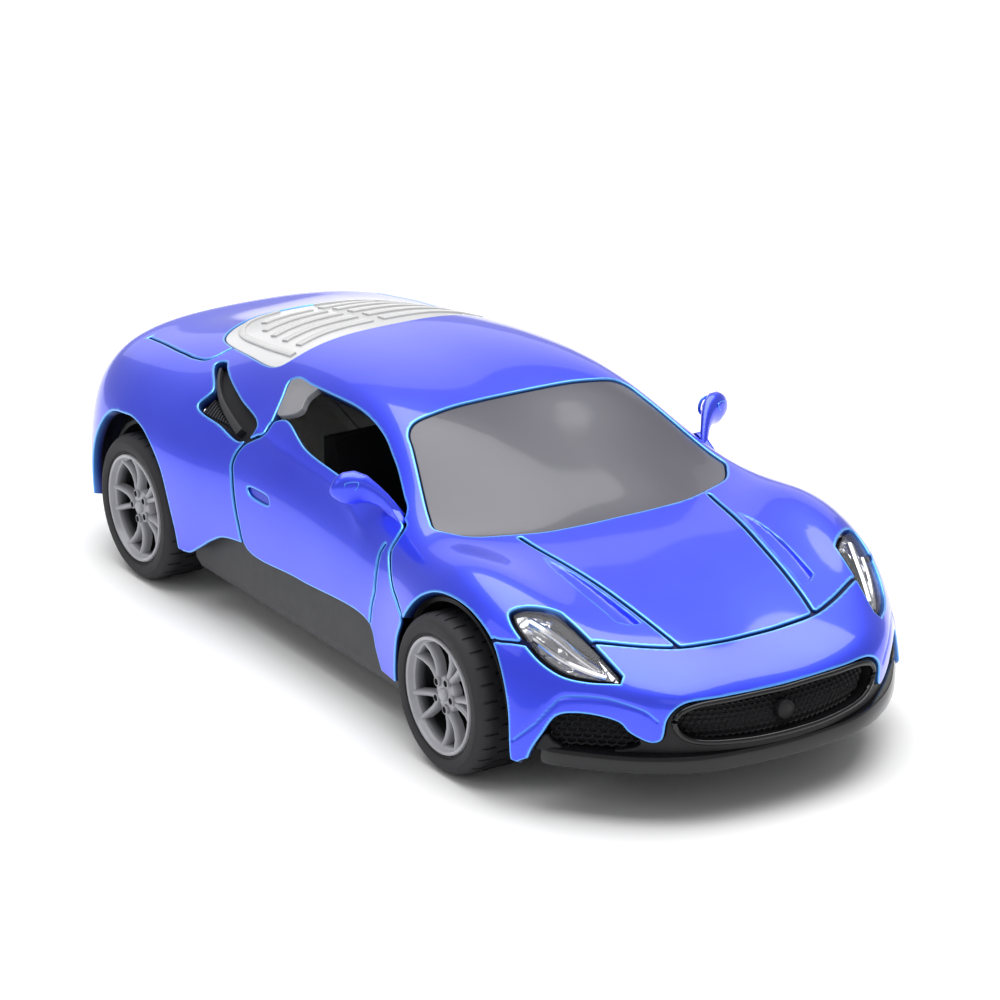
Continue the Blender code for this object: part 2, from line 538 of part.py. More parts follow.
def make_glazing():
    make_glass("windscreen", both_halves(WINDSCREEN), "xy", 15, 45, "smoked_glass")
    make_glass("rear_engine_cover", both_halves(ENGINE_COVER), "xy", 22, 45, "clear_glass")
    make_glass("engine_bay_panel", both_halves(ENGINE_COVER), "xy", 22, 45, "white_plastic", 1.6, 0.8)
    for side, word in ((1, "left"), (-1, "right")):
        low, high = sorted((side * 12, side * 34))
        lamp = [(x, side * y) for x, y in HEADLIGHT]
        tail = side_of(side, TAIL_LIGHT)
        make_glass("quarter_window_" + word, QUARTER_WINDOW, "xz", low, high, "clear_glass")
        make_glass("headlight_lens_" + word, lamp, "xy", 15, 30, "clear_glass")
        make_glass("headlight_reflector_" + word, lamp, "xy", 14, 30, "chrome", 1.5, 0.8)
        make_glass("tail_light_" + word, tail, "yz", -70, -45, "red_glass")
        intake_span = sorted((side * 16.5, side * 34))
        make_glass("side_intake_mesh_" + word, SIDE_INTAKE, "xz", *intake_span, "black_plastic", 1.6, 0.8)


def make_insert(name, outline, span, inset, thickness):
    """A piece of the body's surface filling the lower nose or tail, with its outline seen from the front."""
    shape = prism(name + "_shape", both_halves_front(outline), "yz", *span, -CLEARANCE)
    return keep_inside(skin(name + "_raw", inset, thickness, KEPT_INSIDE), shape)


def make_nose():
    front = make_insert("front", MOUTH, NOSE_SPAN, 0.5, 1.4)
    cut(front, prism("cut_grille", both_halves_front(GRILLE), "yz", *NOSE_SPAN))
    for side in (1, -1):
        cut(front, prism(f"cut_corner{side}", side_of(side, CORNER_INTAKE), "yz", *NOSE_SPAN))
    finish(front, "front_insert", "black_plastic")
    finish(make_insert("mesh", MESH, MESH_SPAN, 2.3, 0.9), "grille_mesh", "black_plastic")
    x, z, radius = BADGE
    finish(rod("badge_raw", at(x, 0, z), at(x + 0.8, 0, z), radius, 20), "grille_badge", "grey_plastic")
    splitter = prism("splitter_raw", both_halves(SPLITTER), "xy", SPLITTER_BOTTOM, SPLITTER_TOP)
    finish(splitter, "front_splitter", "black_plastic")


def make_tail():
    rear = make_insert("rear", TAIL_CUT, TAIL_SPAN, 0.5, 1.4)
    for side, word in ((1, "left"), (-1, "right")):
        place = (side * EXHAUST[0], EXHAUST[1])
        radius = EXHAUST[2]
        cut(rear, prism(f"cut_exhaust{side}", disc(place, radius + CLEARANCE, 16), "yz", *TAIL_SPAN))
        pipe = prism(f"exhaust{side}", disc(place, radius, 16), "yz", -60.1, -55)
        cut(pipe, prism(f"exhaust_bore{side}", disc(place, radius - 0.6, 12), "yz", -70, -56))
        finish(pipe, "exhaust_" + word, "chrome")
    finish(rear, "rear_diffuser", "black_plastic")


def make_chassis():
    plate = prism("chassis_raw", both_halves(CHASSIS), "xy", CHASSIS_BOTTOM, CHASSIS_TOP)
    for side in (1, -1):
        low, high = sorted((side * 13.5, side * 17))
        block = box(f"bearing{side}", (AXLE_X - 2.6, low, CHASSIS_TOP - 0.4), (AXLE_X + 2.6, high, AXLE_Z + 2.8))
        join(plate, block)
    hole = disc((AXLE_X, AXLE_Z), AXLE_RADIUS + CLEARANCE, 12)
    cut(plate, prism("bearing_hole", hole, "xz", -20, 20))
    cut(plate, box("motor_window", MOTOR_WINDOW_LOW, MOTOR_WINDOW_HIGH))
    for i, place in enumerate(SCREWS):
        cut(plate, prism(f"screw_hole{i}", disc(place, SCREW_RADIUS + CLEARANCE, 12), "xy", 0, 20))
    finish(plate, "chassis", "black_plastic")
    for i, place in enumerate(SCREWS):
        head = prism(f"screw{i}", disc(place, SCREW_RADIUS, 12), "xy", CHASSIS_BOTTOM + 0.2, CHASSIS_TOP + 0.1)
        slots = [box(f"slot{i}{n}", (place[0] - a, place[1] - b, 0), (place[0] + a, place[1] + b, 5.5))
                 for n, (a, b) in enumerate(((0.9, 0.2), (0.2, 0.9)))]
        finish(cut(head, *slots), f"chassis_screw_{i + 1}", "steel")
    for side, word in ((1, "left"), (-1, "right")):
        low, high = sorted((side * 20, side * 28))
        skirt = prism(f"skirt{side}", side_of(side, SKIRT_SECTION), "yz", -26, 27)
        keep_inside(skirt, prism(f"skirt_side{side}", SKIRT_SIDE, "xz", low, high))
        finish(skirt, "side_skirt_" + word, "grey_plastic")


def make_cabin():
    tub = box("tub_raw", (-12.4, -20.6, 6.8), (25.2, 20.6, 16.5))
    cut(tub, box("tub_space", (-11.2, -19.6, 8), (24.2, 19.6, 30)))
    finish(tub, "interior_tub", "black_plastic")
    for side, word in ((1, "left"), (-1, "right")):
        low, high = sorted((side * 5, side * 14.5))
        finish(prism(f"seat{side}", SEAT, "xz", low, high), "seat_" + word, "black_plastic")
    finish(prism("dash_raw", DASHBOARD, "xz", -18.5, 18.5), "dashboard", "black_plastic")
    centre = at(*WHEEL_CENTRE)
    axis = Vector((-math.cos(WHEEL_TILT), 0, math.sin(WHEEL_TILT)))
    rim = bpy.data.meshes.new("steering_rim")
    profile = [(WHEEL_RADIUS * MM + x, 0, z) for x, z in disc((0, 0), 0.45 * MM, 5)]
    rim.from_pydata(profile, [(i, (i + 1) % 5) for i in range(5)], [])
    wheel = hide(link(bpy.data.objects.new("steering_rim", rim)))
    screw = wheel.modifiers.new("Screw", "SCREW")
    screw.steps = 12
    screw.render_steps = 12
    screw.use_merge_vertices = True
    screw.merge_threshold = 1e-6
    turn = axis.to_track_quat("Z", "Y").to_matrix()
    wheel.matrix_world = Matrix.Translation(centre) @ turn.to_4x4()
    across = turn @ Vector((WHEEL_RADIUS * MM, 0, 0))
    join(wheel, rod("steering_bar", centre - across, centre + across, 0.5, 6))
    join(wheel, rod("steering_column", centre + axis * 0.3 * MM, centre - axis * 2.6 * MM, 0.7, 8))
    finish(wheel, "steering_wheel", "grey_plastic")


def make_wheel(end, side, word):
    """A tyre on a spoked rim."""
    centre = (end * AXLE_X, AXLE_Z)
    middle = at(centre[0], 0, centre[1])
    finish(revolve("tyre_raw" + word, TYRE, TYRE_STEPS, centre, side), "tyre_" + word, "rubber", middle)
    rim = revolve("rim_raw" + word, RIM, RIM_STEPS, centre, side)
    low, high = sorted((side * 22, side * 30))
    pitch = math.pi / SPOKE_PAIRS
    for i in range(2 * SPOKE_PAIRS):
        turn = math.pi / 2 + i * pitch
        half = NARROW_GAP if i % 2 == 0 else WIDE_GAP
        corners = []
        for radius, angle in ((5.8, -half), (5.8, half), (2.7, half * 0.8), (2.7, -half * 0.8)):
            way = turn + angle
            corners.append((centre[0] + radius * math.cos(way), centre[1] + radius * math.sin(way)))
        cut(rim, prism(f"spoke_gap{word}{i}", corners, "xz", low, high))
    finish(rim, "rim_" + word, "rim_plastic", middle)


def make_running_gear():
    for end, place in ((1, "front"), (-1, "rear")):
        middle = at(end * AXLE_X, 0, AXLE_Z)
        reach = Vector((0, AXLE_HALF * MM, 0))
        axle = rod("axle_raw" + place, middle - reach, middle + reach, AXLE_RADIUS, 12)
        finish(axle, place + "_axle", "steel", middle)
        for side, word in ((1, "left"), (-1, "right")):
            make_wheel(end, side, place + "_" + word)


def gear_outline(centre, teeth, phase):
    """Teeth with sloping sides, phase in tooth pitches; a tooth centre points along +x at phase 0."""
    pitch_radius = MODULE * teeth / 2
    tooth = 2 * math.pi / teeth
    shape = ((pitch_radius - 1.2 * MODULE, 0.3), (pitch_radius + 0.85 * MODULE, 0.11))
    points = []
    for i in range(teeth):
        middle = (i + phase) * tooth
        for radius, half in shape:
            points.append((radius, middle - half * tooth))
        for radius, half in reversed(shape):
            points.append((radius, middle + half * tooth))
    return tuple((centre[0] + r * math.cos(a), centre[1] + r * math.sin(a)) for r, a in points)


def gear_places():
    """Centres of the axle gear, the idler and the spring gear, as (x, z)."""
    axle = (-AXLE_X, AXLE_Z)
    reach = MODULE * (AXLE_TEETH + IDLER_TEETH) / 2
    idler = (axle[0] + reach * math.cos(IDLER_ANGLE), axle[1] + reach * math.sin(IDLER_ANGLE))
    reach = MODULE * (IDLER_PINION_TEETH + SPRING_TEETH) / 2
    spring = (idler[0] + reach * math.cos(SPRING_ANGLE), idler[1] + reach * math.sin(SPRING_ANGLE))
    return axle, idler, spring


def meshing_phase(teeth, angle, follower_teeth):
    """The follower's phase that puts a gap where the leader, at phase 0, has a tooth, seen from the leader."""
    leader_turn = angle / (2 * math.pi) * teeth
    behind = (angle + math.pi) / (2 * math.pi) * follower_teeth
    return behind + 0.5 + leader_turn


def make_motor():
    axle, idler, spring = gear_places()
    axle_gear = prism("axle_gear_raw", gear_outline(axle, AXLE_TEETH, 0), "xz", *around(AXLE_GEAR_Y))
    cut(axle_gear, prism("axle_gear_bore", disc(axle, AXLE_RADIUS + 0.1, 12), "xz", -9, 9))
    finish(axle_gear, "axle_gear", "white_plastic", at(axle[0], 0, axle[1]))

    idler_phase = meshing_phase(AXLE_TEETH, IDLER_ANGLE, IDLER_TEETH)
    idler_gear = prism("idler_raw", gear_outline(idler, IDLER_TEETH, idler_phase), "xz", *around(AXLE_GEAR_Y))
    join(idler_gear, prism("idler_pinion", gear_outline(idler, IDLER_PINION_TEETH, 0), "xz",
                           SPRING_GEAR_Y - GEAR_WIDTH / 2, AXLE_GEAR_Y))
    join(idler_gear, prism("idler_shaft", disc(idler, SHAFT_RADIUS, 12), "xz", *SHAFT_SPAN))
    finish(idler_gear, "idler_gear", "white_plastic", at(idler[0], 0, idler[1]))

    spring_phase = meshing_phase(IDLER_PINION_TEETH, SPRING_ANGLE, SPRING_TEETH)
    spring_gear = prism("spring_raw", gear_outline(spring, SPRING_TEETH, spring_phase), "xz",
                        *around(SPRING_GEAR_Y))
    join(spring_gear, prism("spring_shaft", disc(spring, SHAFT_RADIUS, 12), "xz", *SHAFT_SPAN))
    finish(spring_gear, "spring_gear", "white_plastic", at(spring[0], 0, spring[1]))

    finish(prism("mainspring_raw", spiral(spring), "xz", *MAINSPRING_SPAN), "mainspring", "steel")

    cup = prism("casing_raw", CASING, "xz", *CUP_SPAN)
    cut(cup, prism("casing_space", CASING, "xz", CUP_SPAN[0] - 1, CUP_SPAN[1] - 1, -1))
    lid = prism("lid_raw", CASING, "xz", *LID_SPAN)
    for i, place in enumerate((axle, idler, spring)):
        hole = prism(f"shaft_hole{i}", disc(place, SHAFT_RADIUS + CLEARANCE, 12), "xz", -20, 20)
        cut(cup, hole)
        cut(lid, hole)
    finish(cup, "motor_casing", "white_plastic")
    finish(lid, "motor_casing_lid", "white_plastic")


def around(middle):
    return middle - GEAR_WIDTH / 2, middle + GEAR_WIDTH / 2


def spiral(centre):
    """A thin strip wound outwards, as one closed outline."""
    inner, outer = [], []
    for i in range(SPRING_POINTS + 1):
        share = i / SPRING_POINTS
        angle = 2 * math.pi * SPRING_TURNS * share
        radius = SPRING_INNER + (SPRING_OUTER - SPRING_INNER) * share
        for points, far in ((inner, radius), (outer, radius + SPRING_STRIP)):
            points.append((centre[0] + far * math.cos(angle), centre[1] + far * math.sin(angle)))
    return tuple(outer) + tuple(reversed(inner))


def main():
    clear_scene()
    new_collection(PARTS)
    new_collection(CUTTERS)
    for name in COLOURS:
        new_material(name)
    make_body()
    make_glazing()
    make_nose()
    make_tail()
    for side, word in ((1, "left"), (-1, "right")):
        make_door("door_" + word, side)
        make_hinge_pin("door_hinge_pin_" + word, side)
    make_chassis()
    make_cabin()
    make_running_gear()
    make_motor()
    for item in list(bpy.data.collections[CUTTERS].objects):
        bpy.data.objects.remove(item)


main()
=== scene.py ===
"""Looks of the pull back toy car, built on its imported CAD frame.

Lengths are in millimetres with x measured from midway between the axles, as in the CAD, and become metres
in mesh_object(). +X is the nose, +Y the car's left, +Z up.
"""

import json
import math
from collections import namedtuple

import bpy
import numpy as np
from mathutils import Matrix, Vector
from mathutils.geometry import tessellate_polygon


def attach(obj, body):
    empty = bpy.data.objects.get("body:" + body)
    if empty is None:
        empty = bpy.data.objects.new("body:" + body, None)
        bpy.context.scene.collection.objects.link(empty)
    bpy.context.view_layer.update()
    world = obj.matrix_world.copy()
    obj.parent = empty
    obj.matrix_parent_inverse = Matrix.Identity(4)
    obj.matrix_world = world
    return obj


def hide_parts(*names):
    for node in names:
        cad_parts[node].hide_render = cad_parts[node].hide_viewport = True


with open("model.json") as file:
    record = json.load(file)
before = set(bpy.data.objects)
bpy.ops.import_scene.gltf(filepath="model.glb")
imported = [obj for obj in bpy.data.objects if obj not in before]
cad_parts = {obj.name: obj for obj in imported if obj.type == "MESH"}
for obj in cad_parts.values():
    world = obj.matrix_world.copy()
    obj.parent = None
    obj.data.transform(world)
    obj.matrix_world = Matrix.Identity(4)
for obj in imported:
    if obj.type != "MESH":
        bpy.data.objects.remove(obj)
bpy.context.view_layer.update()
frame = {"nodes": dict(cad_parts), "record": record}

MM = 0.001
AXLE_MIDDLE_X = -2.9
AXLE_X = 36.6
AXLE_Z = 9.35
SIDES = ((1, "left"), (-1, "right"))

# Half of the body, tail to nose, as (x, y, z). Each section runs from the centreline to the lower edge.
# These points are the output of a fitting script. These points were fitted by least squares, which moved
# given points until the surface met outline points and features found in the photo. Only the last section was
# altered after.
SECTIONS = (
    ((-58.9, 0, 6.7), (-58.6, 7.9, 6.7), (-57.7, 13.8, 6.8), (-56, 18.7, 6.8), (-53.8, 22.5, 6.8),
     (-51.7, 24.7, 6.9), (-50.4, 25.8, 7.1), (-49.8, 26.3, 7.3), (-49.3, 26.5, 7.5)),
    ((-60.6, 0, 13.3), (-60.2, 8, 13.3), (-59.5, 13.9, 13.4), (-57.7, 19.4, 13), (-54.9, 23.2, 12.2),
     (-52, 25.4, 11), (-50, 26.4, 9.8), (-49, 26.7, 8.8), (-48.3, 26.8, 7.5)),
    ((-60.7, 0, 19.8), (-60.4, 8.1, 19.9), (-59.4, 14.1, 20), (-57.3, 19.6, 19.7), (-54, 23.5, 18.6),
     (-50.9, 25.7, 16.6), (-48.5, 26.9, 14), (-47.5, 27.2, 11), (-47, 27, 7.5)),
    ((-59.4, 0, 24), (-59.1, 8.1, 24), (-58, 14.2, 23.8), (-55.6, 19.7, 23.3), (-51.8, 23.7, 22.1),
     (-48.2, 26, 20.1), (-46.1, 27.4, 17.1), (-45, 27.6, 12.5), (-44.5, 27.3, 7.5)),
    ((-58.2, 0, 26.4), (-57.8, 8.1, 26.3), (-56.4, 14.3, 25.9), (-53.4, 19.3, 25.1), (-49.3, 23.1, 23.8),
     (-46, 26, 21.4), (-43.6, 27.7, 18.1), (-42.5, 27.8, 13), (-42, 27.4, 7.5)),
    ((-52.4, 0, 26.9), (-52.4, 8.2, 26.8), (-50.9, 14.3, 26.5), (-48.4, 19.3, 25.9), (-45.3, 23.3, 24.6),
     (-41.7, 26.5, 22), (-40.1, 28.1, 18.4), (-39.5, 28, 13), (-39, 27.5, 7.5)),
    ((-45.4, 0, 28.3), (-45.4, 7.2, 28.3), (-44.4, 13.3, 27.6), (-42.3, 18.8, 26.9), (-39.8, 23.3, 25.3),
     (-37.2, 26.7, 22.3), (-36.1, 28.1, 18.5), (-36, 28, 13), (-36, 27.5, 7.5)),
    ((-36.4, 0, 30.7), (-36.4, 6.6, 30.7), (-35.8, 12.3, 29.4), (-34.3, 17.8, 27.7), (-32.2, 22.9, 25.8),
     (-30.6, 26.2, 22.6), (-30, 27.9, 18.5), (-30, 27.9, 13), (-30, 27.3, 7.5)),
    ((-27.4, 0, 32.4), (-27.3, 7.1, 32.4), (-26.8, 12.7, 31.1), (-25.7, 17.2, 29), (-24.1, 22, 26.4),
     (-23, 25.4, 23), (-22.5, 27.3, 18.7), (-22.5, 27.4, 13), (-22.5, 26.8, 7.5)),
    ((-17.5, 0, 33.6), (-17.3, 7.5, 33.7), (-16.7, 13.5, 32.4), (-16.1, 17.2, 29.9), (-15, 21.8, 26.4),
     (-14.5, 24.9, 23), (-14, 26.3, 18.7), (-14, 26.5, 13), (-14, 26, 7.5)),
    ((-7.6, 0, 34.1), (-7.3, 8, 34.2), (-6.6, 13.9, 33.2), (-6, 17.6, 30.6), (-5, 22, 26.1),
     (-5, 24.7, 22.7), (-5, 25.9, 18.1), (-5, 26.2, 13), (-5, 25.8, 7.5)),
    ((2.4, 0, 33.5), (2.7, 7.9, 33.9), (3.5, 14.2, 33.2), (4, 17.6, 30.5), (5, 21.8, 25.6),
     (4.9, 24.4, 22.2), (5, 25.6, 17.9), (5, 26, 13), (5, 25.7, 7.5)),
    ((9.8, 0, 31.6), (10.4, 7.9, 32.3), (11.4, 14.6, 31.9), (12.4, 18, 29), (13.8, 21.6, 24.9),
     (13.8, 24.2, 21.7), (13.9, 25.6, 17.8), (14, 26, 12.9), (14, 25.7, 7.5)),
    ((17.4, 0, 29.1), (17.7, 8.2, 29.3), (18.8, 16.4, 27.8), (19.7, 19.3, 25.7), (21.2, 21.6, 23.8),
     (21.2, 24.1, 21.5), (21.4, 25.6, 17.7), (21.5, 26.2, 12.9), (21.5, 26.1, 7.5)),
    ((25.6, 0, 26.2), (25.7, 8.7, 26.2), (25.7, 15.9, 24.6), (26.1, 19.4, 23.4), (26.6, 21.9, 23.4),
     (26.7, 24.8, 21.7), (26.9, 26.6, 17.8), (27, 27.1, 13), (27, 26.8, 7.5)),
    ((32.7, 0, 23.2), (32.5, 7.8, 23.4), (31.9, 13.6, 23.3), (31.8, 18, 23.4), (31.8, 21.5, 24.1),
     (31.9, 25.3, 22.3), (31.9, 27.5, 18), (32, 28, 13), (32, 27.4, 7.5)),
    ((38.8, 0, 22.6), (39, 7.9, 22.8), (38.6, 13.1, 22.9), (38.1, 17.4, 23.3), (37.6, 21.3, 24.6),
     (37.1, 25.2, 23), (37, 27.8, 18.2), (37, 28.3, 13), (37, 27.6, 7.3)),
    ((45.9, 0, 21.4), (46.1, 7.6, 21.6), (45.8, 12.5, 21.6), (45.4, 16.8, 22.1), (44.4, 20.6, 23.3),
     (43.3, 24.5, 22.1), (42.7, 27.4, 17.7), (42.5, 28.1, 12.6), (42.5, 27.4, 6.9)),
    ((52.9, 0, 19.6), (53.3, 7.3, 19.8), (52.8, 11.9, 19.9), (52, 15.9, 20.2), (50.4, 19.6, 21.1),
     (48.2, 23.3, 20.6), (46.7, 26.5, 16.8), (46.1, 27.4, 12.1), (46, 27, 6.7)),
    ((59.4, 0, 17.5), (59.4, 6.9, 17.8), (58.8, 11.5, 17.9), (57.6, 15.4, 18.1), (55.4, 18.7, 18.2),
     (52.1, 22.4, 17.8), (49.7, 25.3, 15.1), (48.5, 26.7, 11.1), (48.3, 26.7, 6.6)),
    ((64.6, 0, 14.9), (64.7, 7.3, 15.4), (63.7, 12.6, 15.6), (61.7, 16.5, 15.5), (58.2, 19.6, 15.3),
     (54.6, 22.3, 14.6), (51.9, 24.7, 12.6), (50.2, 26.2, 10), (49.6, 26.4, 6.5)),
    ((66.4, 0, 11.6), (65.9, 7.1, 12.3), (64.5, 12.3, 12.6), (61.9, 16.3, 12.7), (58.5, 19.6, 12.2),
     (55, 22.5, 11.4), (52.7, 24.6, 9.9), (51.1, 25.9, 8), (50.4, 26.2, 6.5)),
    ((66.7, 0, 7.8), (65.9, 6.7, 7.9), (64, 11.8, 8), (61.3, 15.8, 8), (58, 19.4, 8),
     (55.1, 22.3, 7.9), (53.3, 24.3, 7.6), (51.8, 25.5, 7), (51, 26, 6.5)),
)

# In an outline, a point given twice is a sharp corner. Many of the outlines' points were worked out by
# casting points of the photo on to the surface above.

# Openings seen from above, as (x, y). The first two are half outlines that begin and end on the centreline.
WINDSCREEN = ((8.7, 0), (9.2, 6.5), (9.8, 11), (10.2, 14.2), (11.2, 15.4), (13.4, 16.2), (22.4, 19.5),
              (24.4, 20), (26, 19.2), (28.3, 17.4), (30.3, 13.6), (31.7, 9.5), (32.1, 5), (32.1, 0))
ENGINE_COVER = ((-18.4, 0), (-18.6, 14.6), (-19.8, 15.7), (-27.5, 15.2), (-36.5, 13.6), (-38.6, 12.4),
                (-40.8, 9.7), (-43.9, 3), (-44.2, 0))
HEADLIGHT = ((45.5, 23.2), (45.9, 22), (48, 19.1), (48.7, 18.5), (48.7, 18.5), (58.4, 16.9), (58.4, 16.9),
             (58.8, 17.5), (58.8, 17.5), (56.7, 19.6), (53.5, 21.9), (50, 23.3), (46.4, 23.6))
# Openings seen from the side, as (x, z).
SIDE_WINDOW = ((19.4, 21), (20.1, 23.9), (19.3, 24.9), (17.4, 25.9), (15.4, 27), (13.7, 27.9), (11.7, 28.8),
               (9.3, 29.8), (6.4, 30.6), (3.3, 31.1), (0.4, 31.3), (-5.3, 31.2), (-9.8, 31), (-13.6, 30.8),
               (-14.4, 30.3), (-13, 29), (-11.6, 27.4), (-10.2, 25.6), (-7.6, 23.4), (-5, 21.5), (8, 21))
QUARTER_WINDOW = ((-8.2, 31.1), (-13.9, 30.9), (-14.5, 30.4), (-13, 28.9), (-11.7, 27.6), (-9.3, 28),
                  (-7.9, 28.9), (-8.6, 30))
SIDE_INTAKE = ((-31.4, 28.1), (-30, 28.5), (-28.4, 28.3), (-20.2, 27.2), (-12.6, 25.7), (-14, 24.1),
               (-19.8, 24.5), (-26.2, 25.3), (-25.9, 26.6))
FRONT_ARCH = ((25.9, 2), (26.2, 7), (26.8, 10.4), (27.6, 13.2), (28.8, 16), (31, 18.9), (32.8, 20.2),
              (34.6, 20.9), (37.3, 21.2), (41.2, 20.7), (45.3, 18.8), (47.7, 16), (49.4, 11.9), (50, 7.4),
              (50.1, 2))
REAR_ARCH = ((-25.6, 2), (-25.7, 8), (-26.1, 11), (-28.3, 16.9), (-32.8, 20.2), (-36.6, 21.2), (-39, 21.1),
             (-42.8, 20.3), (-45.4, 17.8), (-47.9, 14), (-49, 10), (-49.3, 2))
SKIRT_CUT = ((-25.5, 2), (-24.8, 7), (-22.8, 7.6), (-20.2, 9.1), (-17.2, 10.9), (-14, 12.2), (19.8, 12.2),
             (21, 9.4), (22.8, 7), (26, 7), (26, 2))
# Openings seen from the front and the back, as (y, z). The first two are half outlines from the centreline.
MOUTH = ((0, 14.3), (8, 14.5), (12.2, 14.4), (13.5, 13.7), (14.2, 12.6), (14.6, 10.1), (15.4, 9.8),
         (17.4, 11), (18.2, 12.1), (19.9, 12.7), (21.6, 12.7), (22.8, 12.2), (24, 10), (25.2, 7), (25.3, 2),
         (0, 2))
TAIL_CUT = ((0, 11.6), (15, 11.8), (19.5, 10.6), (22.4, 7), (22.6, 2), (0, 2))
TAIL_LIGHT = ((9.5, 21.4), (21.5, 20.4), (22.2, 19), (20, 18.6), (10, 20))

# The door's edge on the left side: x, y, z and how far the cut leans inwards for each mm of depth.
DOOR_EDGE = (
    (-9.2, 20.4, 27.6, 0), (-10.9, 21.2, 26.8, 0.3), (-10.5, 22.3, 25.8, 0.6), (-11.8, 23, 24.9, 0.7),
    (-13.1, 23.8, 24, 0.7), (-13.7, 24.7, 22.8, 0.7), (-13.7, 25.3, 21.5, 0.7), (-13, 25.7, 20.2, 0.7),
    (-12.1, 26.1, 18.2, 0.7), (-10.9, 26.3, 15.3, 0.6), (-9.3, 26.2, 12.3, 0.5), (3, 26, 12.1, 0.2),
    (19.8, 26.1, 12, 0), (21.2, 26.2, 9.3, 0), (23, 26.3, 6.9, 0), (26, 26.7, 6.7, 0), (26.4, 26.8, 9, 0),
    (27.3, 27, 13, 0), (28.4, 27, 15.8, 0), (26.8, 26.6, 17, 0), (24.6, 25.9, 18.1, 0),
    (22.6, 25.1, 19.8, 0.1), (21.3, 24.2, 21.3, 0.3), (21.2, 23.3, 22.4, 0.6), (20.9, 22.3, 23.5, 0.6),
    (20, 21.8, 23.9, 0.4), (13.3, 21.6, 24.8, 0.1), (5.6, 21.7, 25.5, 0), (-1.9, 21.6, 26.2, 0),
)

# The shell's metal, the rounding of its edges, the strip along an edge or a line that gets a paler painted
# highlight, and the painted shade at the foot of the rounding.
METAL_THICKNESS = 1.2
EDGE_RADIUS = 0.18
HIGHLIGHT_BAND = 0.1
HIGHLIGHT_WIDTH = 0.12
HIGHLIGHT_STRENGTH = 0.65
LIP_SHADE = 0.35
EDGE_STEPS = 3
DOOR_GAP = 0.35
GROOVE_DEPTH = 0.38

# How finely the surface is divided: steps between two points of SECTIONS, the finest triangle, how far past
# its outline a triangle is kept while splitting, rounds of splitting, and where on an edge a cut may lie.
BASE_STEPS = (3, 3)
FINEST = 0.4
FIRST_MARGIN = 3.0
LATER_MARGIN = 2.0
REFINE_ROUNDS = 6
CUT_SHARES = (0.02, 0.98)

# The largest distance to an outline that is worked out, and the angle from which an edge is shaded as sharp.
FAR = 4.0
SHARP = math.radians(38)

Outline = namedtuple("Outline", "plane curve closed span half_width")
PLANES = {"xy": (0, 1, 2), "xz": (0, 2, 1), "yz": (1, 2, 0)}


def smooth_curve(points, closed, spacing=0.3):
    """Points spaced along a centripetal Catmull-Rom curve through the given ones."""
    points = np.array(points, float)
    if closed:
        points = np.concatenate([points[-1:], points, points[:2]])
    else:
        points = np.concatenate([2 * points[:1] - points[1:2], points, 2 * points[-1:] - points[-2:-1]])
    curve = []
    for a, b, c, d in zip(points[:-3], points[1:-2], points[2:-1], points[3:]):
        lengths = [np.linalg.norm(q - p) for p, q in ((a, b), (b, c), (c, d))]
        knots = np.cumsum([0] + [max(length, 1e-6) ** 0.5 for length in lengths])
        steps = max(int(np.linalg.norm(c - b) / spacing), 2)
        t = np.linspace(knots[1], knots[2], steps, endpoint=False)[:, None]
        ab = ((knots[1] - t) * a + (t - knots[0]) * b) / (knots[1] - knots[0])
        bc = ((knots[2] - t) * b + (t - knots[1]) * c) / (knots[2] - knots[1])
        cd = ((knots[3] - t) * c + (t - knots[2]) * d) / (knots[3] - knots[2])
        first = ((knots[2] - t) * ab + (t - knots[0]) * bc) / (knots[2] - knots[0])
        second = ((knots[3] - t) * bc + (t - knots[1]) * cd) / (knots[3] - knots[1])
        curve.append(((knots[2] - t) * first + (t - knots[1]) * second) / (knots[2] - knots[1]))
    if not closed:
        curve.append(points[-2:-1])
    return np.concatenate(curve)


def opening(points, plane, span, mirrored=False, grow=0.0):
    """An opening seen along an axis. span is the range of that axis that it reaches through."""
    points = [tuple(p) for p in points]
    if mirrored:
        keep = 1 if plane == "xy" else 0
        flip = [(a, -b) if keep else (-a, b) for a, b in reversed(points[1:-1])]
        points = points + flip
    return Outline(plane, smooth_curve(points, True), True, span, grow)


def groove(points, plane, span, width=0.42):
    return Outline(plane, smooth_curve(points, False), False, span, width / 2)


def padded(cage):
    """The cage with a row added beyond each end, so that the surface reaches its edge."""
    for _ in range(2):
        cage = np.concatenate([2 * cage[:1] - cage[1:2], cage, 2 * cage[-1:] - cage[-2:-1]])
        cage = cage.swapaxes(0, 1)
    return cage


HALF_CAGE = np.array(SECTIONS, float)
CAGE = np.concatenate([HALF_CAGE[:, ::-1] * (1, -1, 1), HALF_CAGE[:, 1:]], axis=1)
PADDED_CAGE = padded(CAGE)
ROWS, COLUMNS = CAGE.shape[:2]


def spline_weights(t, count):
    """Uniform cubic B-spline weights and their slopes."""
    first = np.clip(t.astype(int), 0, count - 2)
    f = t - first
    g = 1 - f
    value = np.stack([g**3, 3 * f**3 - 6 * f**2 + 4, -3 * f**3 + 3 * f**2 + 3 * f + 1, f**3], 1) / 6
    slope = np.stack([-3 * g**2, 9 * f**2 - 12 * f, -9 * f**2 + 6 * f + 3, 3 * f**2], 1) / 6
    return first, value, slope


